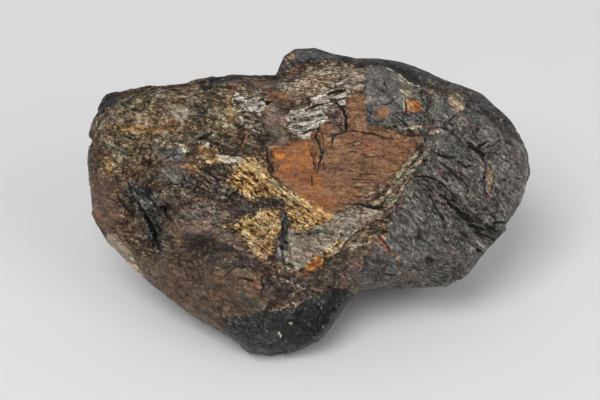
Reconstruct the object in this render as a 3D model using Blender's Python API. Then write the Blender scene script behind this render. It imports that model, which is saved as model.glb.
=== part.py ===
"""A hand-sized lump of iron ore, broken from a vein, resting on the small flat spot underneath it.

The stone is one closed solid. Its broad face leans back from upright, so places on it are given square on to
that face, in millimetres from the stone's heart: right along the face, up the face, and out of it.
"""

import math

import bmesh
import bpy
import numpy as np

# Driving dimensions, in millimetres unless it says otherwise
FACE_LEAN = math.radians(35.0)  # how far the broad face leans back from upright
HEART = (0.3, -4.7, 43.3)  # the heart's place: along, back, and above what the stone rests on
FRONT_DEPTH, BACK_DEPTH = 46.0, 39.0  # how far the rounded body would reach in front of its waist and behind it
WAIST_OUT = -8.0  # the waist, where the body is widest, lies a little behind the heart
CELLS = (42, 28, 12)  # cells of the working box along right, up and out
BOX = (75.0, 50.0, 58.0)  # the working box's half sides
RAY_FEET = (28.0, 28.0, -10.0)  # half sizes of the small inner shape that every ray starts on
CRISPNESS = 16.0  # the larger it is, the sharper the edges between fracture faces
BROAD_WAVE, BROAD_HEIGHT = 17.0, 1.7  # the fracture faces roll this often and this much
SHORT_WAVE, SHORT_HEIGHT = 8.0, 0.85

# The stone's outline square on to its broad face, (right, up), anticlockwise from the right-hand end
OUTLINE = (
    (74.2, 0.0),
    (76.3, 10.8),
    (73.9, 21.3),
    (67.6, 30.0),
    (59.6, 37.3),
    (49.1, 41.1),
    (40.4, 45.0),
    (32.4, 47.7),
    (24.0, 49.5),
    (16.0, 49.5),
    (9.1, 50.9),
    (1.7, 52.6),
    (-5.6, 52.3),
    (-9.4, 50.2),
    (-11.8, 43.6),
    (-17.8, 43.2),
    (-25.1, 43.6),
    (-33.5, 42.9),
    (-42.9, 41.1),
    (-55.1, 40.1),
    (-70.4, 37.3),
    (-75.3, 27.5),
    (-76.7, 16.4),
    (-76.7, 5.2),
    (-75.3, -5.2),
    (-69.7, -15.0),
    (-62.4, -22.7),
    (-55.1, -29.3),
    (-41.1, -39.7),
    (-27.5, -47.4),
    (-21.3, -52.6),
    (-13.6, -54.0),
    (-5.6, -52.3),
    (1.7, -48.4),
    (8.4, -41.8),
    (12.9, -35.5),
    (17.4, -32.1),
    (27.5, -30.7),
    (36.6, -30.7),
    (47.7, -30.0),
    (55.4, -24.7),
    (61.0, -17.4),
    (68.7, -9.8),
)

# Fracture faces, each as the way it faces and a place on it, both (right, up, out)
BACK_FACES = (
    ((0.10, 0.12, -1.0), (0, 0, -41)),
    ((-1.0, 0.10, -0.8), (-70, 0, -20)),
    ((1.0, -0.1, -0.7), (70, 0, -20)),
    ((-0.1, 1.0, -0.8), (0, 49, -22)),
    ((-0.7, -0.9, -0.3), (-54, -34, -6)),
    ((-0.6, 0.7, -0.6), (-61, 41, -18)),
    ((0.6, 0.7, -0.6), (57, 40, -22)),
)
UPPER_EDGE = ((-0.12, 0.99, 0.10), (10, 45, 8))
UPPER_RIGHT_EDGE = ((0.477, 0.879, 0.10), (42.6, 38.2, 6))
LOWER_LEFT = ((-0.853, -0.708, 1.0), (-40.9, -13.6, 21.1))
NOSE_BROW = ((0.297, -0.527, 1.0), (-8.5, -23.2, 29))
NOSE_SIDE = ((1.8, -0.6, 1.0), (9, -32, 18))
RIGHT_FRONT = ((0.36, 0.05, 1.0), (30.7, -1.7, 22.2))
RIGHT_UNDER = ((0.25, -0.55, 1.0), (30.7, -17, 20))
RIGHT_FOOT = ((0.45, -1.9, 1.0), (42, -28, 3))
RIGHT_END = ((1.3, 0.0, 1.0), (76.0, 2, 0))
CHUNKS = {
    "sunken plate in the middle": (
        ((0.0, 0.10, 1.0), (0, 0, 16.6)),
        ((0.05, 0.45, 1.0), (10, 31, 13.4)),
        ((0.0, 1.3, 1.0), (10.2, 43.5, 5)),
        ((0.465, 0.669, 1.0), (42.6, 17, 15)),
        ((0.5, 0.1, 1.0), (33, 5, 15.5)),
        ((-0.5, 0.1, 1.0), (-25, 5, 13)),
        ((0.0, -0.9, 1.0), (0, -14, 17)),
        UPPER_EDGE,
        UPPER_RIGHT_EDGE,
    ),
    "left shoulder": (
        ((-0.238, 0.337, 1.0), (-37.5, 30.7, 11.9)),
        ((-1.5, 0.2, 1.0), (-77, 20, -1)),
        ((-0.2, 1.3, 1.0), (-40, 39, 7)),
        ((0.1, 0.3, 1.0), (-30, 28, 14.5)),
        ((1.43, 0.48, 1.0), (-18, 24, 15.5)),
        ((0.5, 0.15, 1.0), (-22, 8, 20)),
        ((0.4, -1.4, 1.0), (-20, -9, 21.5)),
        LOWER_LEFT,
        UPPER_EDGE,
    ),
    "nose": (
        ((0.15, 0.75, 1.0), (-8.5, -23.2, 29)),
        ((-0.45, 0.2, 1.0), (-16, -22, 28)),
        ((-0.321, -1.44, 1.0), (-16.4, -35.1, 26)),
        LOWER_LEFT,
        NOSE_BROW,
        NOSE_SIDE,
    ),
    "shelf beside the nose": (
        ((-0.208, 0.697, 1.0), (11.9, -15.3, 27.8)),
        ((-0.6, -0.2, 1.0), (-9, -20, 29)),
        NOSE_BROW,
        NOSE_SIDE,
    ),
    "right shoulder, lower part": (
        ((-0.208, 0.697, 1.0), (11.9, -15.3, 27.8)),
        ((-0.9, -1.2, 1.0), (9, -25, 22)),
        RIGHT_FRONT,
        RIGHT_UNDER,
        RIGHT_FOOT,
        RIGHT_END,
        UPPER_RIGHT_EDGE,
    ),
    "right shoulder, upper part": (
        ((-1.4, 0.9, 1.0), (33, 2, 21)),
        ((0.465, 0.669, 1.0), (47, 21, 17)),
        RIGHT_FRONT,
        RIGHT_UNDER,
        RIGHT_FOOT,
        RIGHT_END,
        UPPER_RIGHT_EDGE,
    ),
    "slab behind, showing along the top": (
        ((0.1, 1.3, 1.0), (10, 49, -2)),
        ((0.0, 0.0, 1.0), (0, 0, -4)),
    ),
}
# Hollows: middle (right, up, out), half width, half length, turn of the long way in degrees, and depth
HOLLOWS = (
    ((-54.0, -9.0, 14.0), 8.0, 12.0, -35.0, 8.0),
    ((-64.0, -3.0, 8.0), 5.0, 8.0, -20.0, 3.0),
    ((57.0, -9.5, 12.0), 7.0, 9.0, 50.0, 4.0),
    ((-8.3, -13.0, 24.0), 2.6, 9.5, 0.0, 6.0),
)
# Ledges on the unseen side: what lies further than this along this way (right, up, out) is set back by this much
LEDGES = (
    ((0.5, 0.85, 0.2), 16.0, 2.6),
    ((-0.9, 0.4, 0.1), 30.0, 2.4),
    ((0.95, -0.3, 0.0), 38.0, 2.8),
    ((0.2, -1.0, 0.3), 14.0, 1.8),
    ((-0.3, -0.2, -1.0), 44.0, 2.0),
)


def settled_random(cells, seed):
    """A settled random number from 0 to 1 for each whole-numbered place."""
    x, y, z = (cells[..., axis].astype(np.int64) for axis in range(3))
    mixed = (x * 374761393 + y * 668265263 + z * 2147483647 + seed * 1274126177) & 0xFFFFFFFF
    mixed = ((mixed ^ (mixed >> 13)) * 1274126177) & 0xFFFFFFFF
    mixed = ((mixed ^ (mixed >> 16)) * 2246822519) & 0xFFFFFFFF
    return ((mixed ^ (mixed >> 15)) & 0xFFFFFF) / 0xFFFFFF


def smooth_noise(places, seed):
    """Noise from -1 to 1 that rolls about once for each unit of length."""
    cell = np.floor(places)
    part = places - cell
    part = part**3 * (part * (part * 6 - 15) + 10)
    total = 0
    for corner in np.ndindex(2, 2, 2):
        weight = np.prod(np.where(corner, part, 1 - part), axis=-1)
        total = total + weight * settled_random(cell + corner, seed)
    return total * 2 - 1


def outline_reach(angle):
    """How far the outline is from the heart at an angle: the straight line between the two nearest corners."""
    right, up = np.array(OUTLINE).T
    turn = np.arctan2(up, right)
    order = np.argsort(turn)
    turn, far = turn[order], np.hypot(right, up)[order]
    turn = np.concatenate([turn[-1:] - 2 * math.pi, turn, turn[:1] + 2 * math.pi])
    far = np.concatenate([far[-1:], far, far[:1]])
    after = np.clip(np.searchsorted(turn, angle), 1, len(turn) - 1)
    a, b = turn[after - 1], turn[after]
    return np.sin(b - a) / (np.sin(b - angle) / far[after - 1] + np.sin(angle - a) / far[after])


def closeness(feet, ways, face, wave):
    """One over the length of each ray to a fracture face, to a high power; nought where it's never met."""
    toward = np.array(face[0]) / np.linalg.norm(face[0])
    gap = np.maximum(toward @ np.array(face[1]) + wave - feet @ toward, 0.3)
    return (np.maximum(ways @ toward, 0) / gap) ** CRISPNESS


def stone_surface(ways):
    """Places on the stone, square on to its face, for rays that fan out from the small inner shape.

    A chunk is ended by the nearest of its faces, with rounded edges; the stone is the furthest of its chunks.
    """
    feet = ways * RAY_FEET + (0, 0, WAIST_OUT)
    spread = np.hypot(ways[:, 0], ways[:, 1])
    far = outline_reach(np.arctan2(ways[:, 1], ways[:, 0]))
    in_front = ways[:, 2] > 0
    depth = np.where(in_front, FRONT_DEPTH, BACK_DEPTH)
    power = np.where(in_front, 2.8, 3.2)
    across = spread / np.maximum(far - RAY_FEET[0] * spread, 1)
    through = np.abs(ways[:, 2]) / (depth - RAY_FEET[2] * np.abs(ways[:, 2]))
    body = (across**power + through**power) ** (1 / power)
    length = np.minimum(1 / body, 60)
    for _ in range(2):
        places = feet + ways * length[:, None]
        waves = [smooth_noise(places / BROAD_WAVE + 7.3 * i, i) for i in range(3)]
        ripples = [smooth_noise(places / SHORT_WAVE + 3.1 * i, 50 + i) for i in range(3)]

        def rolling(face):
            own = sum(face[1]) + 3 * sum(face[0])
            mix = [math.sin(2.1 * own + 2.094 * i) for i in range(3)]
            return sum(m * (BROAD_HEIGHT * w + SHORT_HEIGHT * r) for m, w, r in zip(mix, waves, ripples))

        common = body**CRISPNESS + sum(closeness(feet, ways, face, 1.2 * rolling(face)) for face in BACK_FACES)
        ends = []
        for faces in CHUNKS.values():
            ends.append(common + sum(closeness(feet, ways, face, rolling(face)) for face in faces))
        length = np.min(ends, axis=0) ** (-1 / CRISPNESS)
    places = feet + ways * length[:, None]
    wander = 2.5 * np.stack(ripples, -1) + 2.0 * np.stack(waves, -1)
    for middle, half_width, half_length, turn, deep in HOLLOWS:
        gap = places - middle + wander
        cosine, sine = math.cos(math.radians(turn)), math.sin(math.radians(turn))
        across = (gap[:, 0] * cosine + gap[:, 1] * sine) / half_width
        along = (gap[:, 1] * cosine - gap[:, 0] * sine) / half_length
        bowl = np.maximum(1 - across**2 - along**2, 0) ** 1.5 * (places[:, 2] > 0)
        length = length - deep * bowl / np.maximum(ways[:, 2], 0.3)
    behind = np.clip(-places[:, 2] / 12 - 0.4, 0, 1)
    for way, far_along, set_back in LEDGES:
        past = np.clip((places @ np.array(way) + 1.5 * wander[:, 0] - far_along) / 4, 0, 1)
        length = length - set_back * behind * past * past * (3 - 2 * past)
    down = np.array((0, -math.cos(FACE_LEAN), -math.sin(FACE_LEAN)))
    to_rest = (HEART[2] - feet @ down) / np.maximum(ways @ down, 1e-6)
    return feet + ways * np.minimum(length, to_rest)[:, None]


def stand_up(places):
    """Turns places square on to the broad face into places on the level, in metres."""
    sine, cosine = math.sin(FACE_LEAN), math.cos(FACE_LEAN)
    axes = np.array(((1, 0, 0), (0, sine, cosine), (0, -cosine, sine)))
    standing = places @ axes + HEART
    standing[np.abs(standing[:, 2]) < 1e-6, 2] = 0
    return standing / 1000


def make_stone(collection):
    """A box of even cells, each corner moved out along its ray to the stone's surface."""
    grid = bmesh.new()
    bmesh.ops.create_cube(grid, size=2.0)
    for axis, cells in enumerate(CELLS):
        along = [e for e in grid.edges if abs((e.verts[1].co - e.verts[0].co).normalized()[axis]) > 0.9]
        bmesh.ops.subdivide_edges(grid, edges=along, cuts=cells - 1, use_grid_fill=True)
    corners = np.array([v.co for v in grid.verts]) * BOX
    ways = corners / np.linalg.norm(corners, axis=1)[:, None]
    for corner, place in zip(grid.verts, stand_up(stone_surface(ways))):
        corner.co = place
    bmesh.ops.triangulate(grid, faces=grid.faces, quad_method="SHORT_EDGE")
    bmesh.ops.recalc_face_normals(grid, faces=grid.faces)
    mesh = bpy.data.meshes.new("iron_ore")
    grid.to_mesh(mesh)
    grid.free()
    stone = bpy.data.objects.new("iron_ore", mesh)
    stone.data.materials.append(ore_material())
    collection.objects.link(stone)


def ore_material():
    material = bpy.data.materials.new("ore")
    material.use_nodes = True
    surface = material.node_tree.nodes["Principled BSDF"]
    surface.inputs["Base Color"].default_value = (0.107, 0.074, 0.058, 1)
    surface.inputs["Roughness"].default_value = 0.6
    return material


def main():
    for thing in list(bpy.data.objects):
        bpy.data.objects.remove(thing)
    collection = bpy.data.collections.new("iron_ore")
    bpy.context.scene.collection.children.link(collection)
    make_stone(collection)


main()
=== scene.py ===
"""A lump of iron ore on a pale floor, dressed with its fracture relief, cracks and mineral patches.

The stone is worked out square on to its broad face, in millimetres from its heart as (right, up, out), and
then stood up. Markings are placed on a map of the broad face, in steps of MAP_STEP right and up from the
heart.
"""

import math
from functools import partialmethod

import bpy
import numpy as np
from mathutils import Matrix, Vector


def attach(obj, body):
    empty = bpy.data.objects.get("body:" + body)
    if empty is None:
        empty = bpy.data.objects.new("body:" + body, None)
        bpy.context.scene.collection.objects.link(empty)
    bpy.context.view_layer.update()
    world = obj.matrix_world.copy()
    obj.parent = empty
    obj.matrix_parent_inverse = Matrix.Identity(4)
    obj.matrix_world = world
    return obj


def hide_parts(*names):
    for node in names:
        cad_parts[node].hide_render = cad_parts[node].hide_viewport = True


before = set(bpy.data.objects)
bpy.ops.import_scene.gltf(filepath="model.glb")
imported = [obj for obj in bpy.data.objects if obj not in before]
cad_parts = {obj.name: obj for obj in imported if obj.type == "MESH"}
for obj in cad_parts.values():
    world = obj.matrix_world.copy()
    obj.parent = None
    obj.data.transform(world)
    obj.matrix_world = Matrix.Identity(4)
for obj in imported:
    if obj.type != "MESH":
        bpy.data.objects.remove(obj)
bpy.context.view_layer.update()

MM = 0.001
# The map's step in millimetres: the picture frame is FRAME_WIDTH_STEPS of them wide where the camera aims
MAP_STEP = 0.341

# The stone's stance and size in millimetres, as the solid has them
FACE_LEAN = math.radians(35.0)  # how far the broad face leans back from upright
HEART = (0.3, -4.7, 43.3)  # the heart's place: along, back, and above what the stone rests on
FRONT_DEPTH, BACK_DEPTH = 46.0, 39.0  # how far the rounded body reaches in front of its waist and behind
WAIST_OUT = -8.0  # the waist, where the body is widest, lies a little behind the heart
RAY_FEET = (28.0, 28.0, -10.0)  # half sizes of the small inner shape that every ray starts on
CRISPNESS = 18.0  # the larger it is, the sharper the edges between faces; a little sharper than the solid's
BROAD_WAVE, BROAD_HEIGHT = 17.0, 1.7  # the fracture faces roll this often and this much
SHORT_WAVE, SHORT_HEIGHT = 8.0, 0.85

# The fine net: cells over the front, rows round the waist, and how far from the middle its front and back
# sheets end, as the sine of the rays' spread. The back sheet has half as many cells each way, and the rays
# are spread as over a face with these half sides, in millimetres
NET_ACROSS, NET_UP, NET_ROWS = 308, 208, 32
FRONT_SPREAD, BACK_SPREAD = math.sin(math.radians(80)), math.sin(math.radians(60))
HALF_LENGTH, HALF_HEIGHT = 75.0, 50.0

# The outline square on to the broad face, (right, up), anticlockwise from the right-hand end
OUTLINE = (
    (73.6, 0.0), (77.2, 9.8), (74.6, 21.3), (67.6, 30.0), (59.6, 37.3), (49.1, 41.1), (40.4, 45.0),
    (32.4, 48.1), (24.0, 50.0), (16.0, 49.5), (9.1, 50.9), (1.7, 53.6), (-5.3, 53.2), (-8.8, 50.4),
    (-11.8, 43.6), (-17.8, 43.2), (-25.1, 43.6), (-33.5, 42.9), (-42.9, 41.1), (-55.1, 40.1),
    (-71.8, 37.2), (-76.2, 27.5), (-77.9, 16.4), (-77.0, 5.2), (-75.9, -5.2), (-70.9, -15.0),
    (-62.4, -22.7), (-55.1, -29.3), (-41.1, -39.7), (-27.5, -47.4), (-21.3, -52.6), (-13.6, -54.0),
    (-5.6, -52.3), (2.7, -48.8), (8.4, -41.8), (12.9, -35.5), (17.4, -31.2), (27.5, -30.0), (36.6, -30.7),
    (47.7, -30.0), (55.4, -24.7), (61.0, -17.4), (67.8, -9.8),
)

# Fracture faces, each as the way it faces and a place on it, both (right, up, out)
BACK_FACES = (
    ((0.10, 0.12, -1.0), (0, 0, -41)),
    ((-1.0, 0.10, -0.8), (-70, 0, -20)),
    ((1.0, -0.1, -0.7), (70, 0, -20)),
    ((-0.1, 1.0, -0.8), (0, 49, -22)),
    ((-0.7, -0.9, -0.3), (-54, -34, -6)),
    ((-0.6, 0.7, -0.6), (-61, 41, -18)),
    ((0.6, 0.7, -0.6), (57, 40, -22)),
)
UPPER_EDGE = ((-0.12, 0.99, 0.10), (10, 45, 8))
UPPER_RIGHT_EDGE = ((0.477, 0.879, 0.10), (42.6, 38.2, 6))
LOWER_LEFT = ((-0.853, -0.708, 1.0), (-40.9, -13.6, 21.1))
NOSE_BROW = ((0.297, -0.527, 1.0), (-8.5, -23.2, 29))
NOSE_SIDE = ((1.8, -0.6, 1.0), (9, -32, 18))
RIGHT_FRONT = ((0.36, 0.05, 1.0), (30.7, -1.7, 22.2))
RIGHT_UNDER = ((0.25, -0.55, 1.0), (30.7, -17, 20))
RIGHT_FOOT = ((0.45, -1.9, 1.0), (42, -28, 3))
RIGHT_END = ((1.3, 0.0, 1.0), (76.0, 2, 0))
CHUNKS = {
    "sunken plate in the middle": (
        ((0.0, 0.10, 1.0), (0, 0, 16.6)),
        ((0.05, 0.45, 1.0), (10, 31, 13.4)),
        ((0.0, 1.3, 1.0), (10.2, 43.5, 5)),
        ((0.465, 0.669, 1.0), (42.6, 17, 15)),
        ((0.5, 0.1, 1.0), (33, 5, 15.5)),
        ((-0.5, 0.1, 1.0), (-25, 5, 13)),
        ((0.0, -0.9, 1.0), (0, -14, 17)),
        UPPER_EDGE,
        UPPER_RIGHT_EDGE,
    ),
    "left shoulder": (
        ((-0.238, 0.337, 1.0), (-37.5, 30.7, 11.9)),
        ((-1.5, 0.2, 1.0), (-77, 20, -1)),
        ((-0.2, 1.3, 1.0), (-40, 39, 7)),
        ((0.1, 0.3, 1.0), (-30, 28, 14.5)),
        ((1.43, 0.48, 1.0), (-18, 24, 15.5)),
        ((0.5, 0.15, 1.0), (-22, 8, 20)),
        ((0.4, -1.4, 1.0), (-20, -9, 21.5)),
        LOWER_LEFT,
        UPPER_EDGE,
    ),
    "nose": (
        ((0.15, 0.75, 1.0), (-8.5, -23.2, 29)),
        ((-0.45, 0.2, 1.0), (-16, -22, 28)),
        ((-0.321, -1.44, 1.0), (-16.4, -35.1, 26)),
        LOWER_LEFT,
        NOSE_BROW,
        NOSE_SIDE,
    ),
    "shelf beside the nose": (
        ((-0.208, 0.697, 1.0), (11.9, -15.3, 27.8)),
        ((-0.6, -0.2, 1.0), (-9, -20, 29)),
        NOSE_BROW,
        NOSE_SIDE,
    ),
    "right shoulder, lower part": (
        ((-0.208, 0.697, 1.0), (11.9, -15.3, 27.8)),
        ((-0.9, -1.2, 1.0), (9, -25, 22)),
        RIGHT_FRONT,
        RIGHT_UNDER,
        RIGHT_FOOT,
        RIGHT_END,
        UPPER_RIGHT_EDGE,
    ),
    "right shoulder, upper part": (
        ((-1.4, 0.9, 1.0), (33, 2, 21)),
        ((0.465, 0.669, 1.0), (47, 21, 17)),
        RIGHT_FRONT,
        RIGHT_UNDER,
        RIGHT_FOOT,
        RIGHT_END,
        UPPER_RIGHT_EDGE,
    ),
    "slab behind, showing along the top": (
        ((0.1, 1.3, 1.0), (10, 49, -2)),
        ((0.0, 0.0, 1.0), (0, 0, -4)),
    ),
}
# Hollows: middle (right, up, out), half width, half length, turn of the long way in degrees, and depth
HOLLOWS = (
    ((-54.0, -9.0, 14.0), 8.0, 12.0, -35.0, 5.5),
    ((-64.0, -3.0, 8.0), 5.0, 8.0, -20.0, 3.0),
    ((57.0, -9.5, 12.0), 7.0, 9.0, 50.0, 2.4),
    ((-8.6, -13.5, 24.0), 1.5, 8.0, 0.0, 3.4),
)
# Ledges on the unseen side: a way (right, up, out), how far along it the ledge starts, and how much it sets
# back
LEDGES = (
    ((0.5, 0.85, 0.2), 16.0, 2.6),
    ((-0.9, 0.4, 0.1), 30.0, 2.4),
    ((0.95, -0.3, 0.0), 38.0, 2.8),
    ((0.2, -1.0, 0.3), 14.0, 1.8),
    ((-0.3, -0.2, -1.0), 44.0, 2.0),
)

# The camera aims a little left of the heart and out from it, so that the stone sits in the frame as
# pictured
LENS, SENSOR = 150.0, 36.0
FRAME_WIDTH_STEPS = 600
AIM = (-10 * MAP_STEP, 0.0, 10.0)
CAMERA_DISTANCE = FRAME_WIDTH_STEPS * MAP_STEP * LENS / SENSOR

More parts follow.
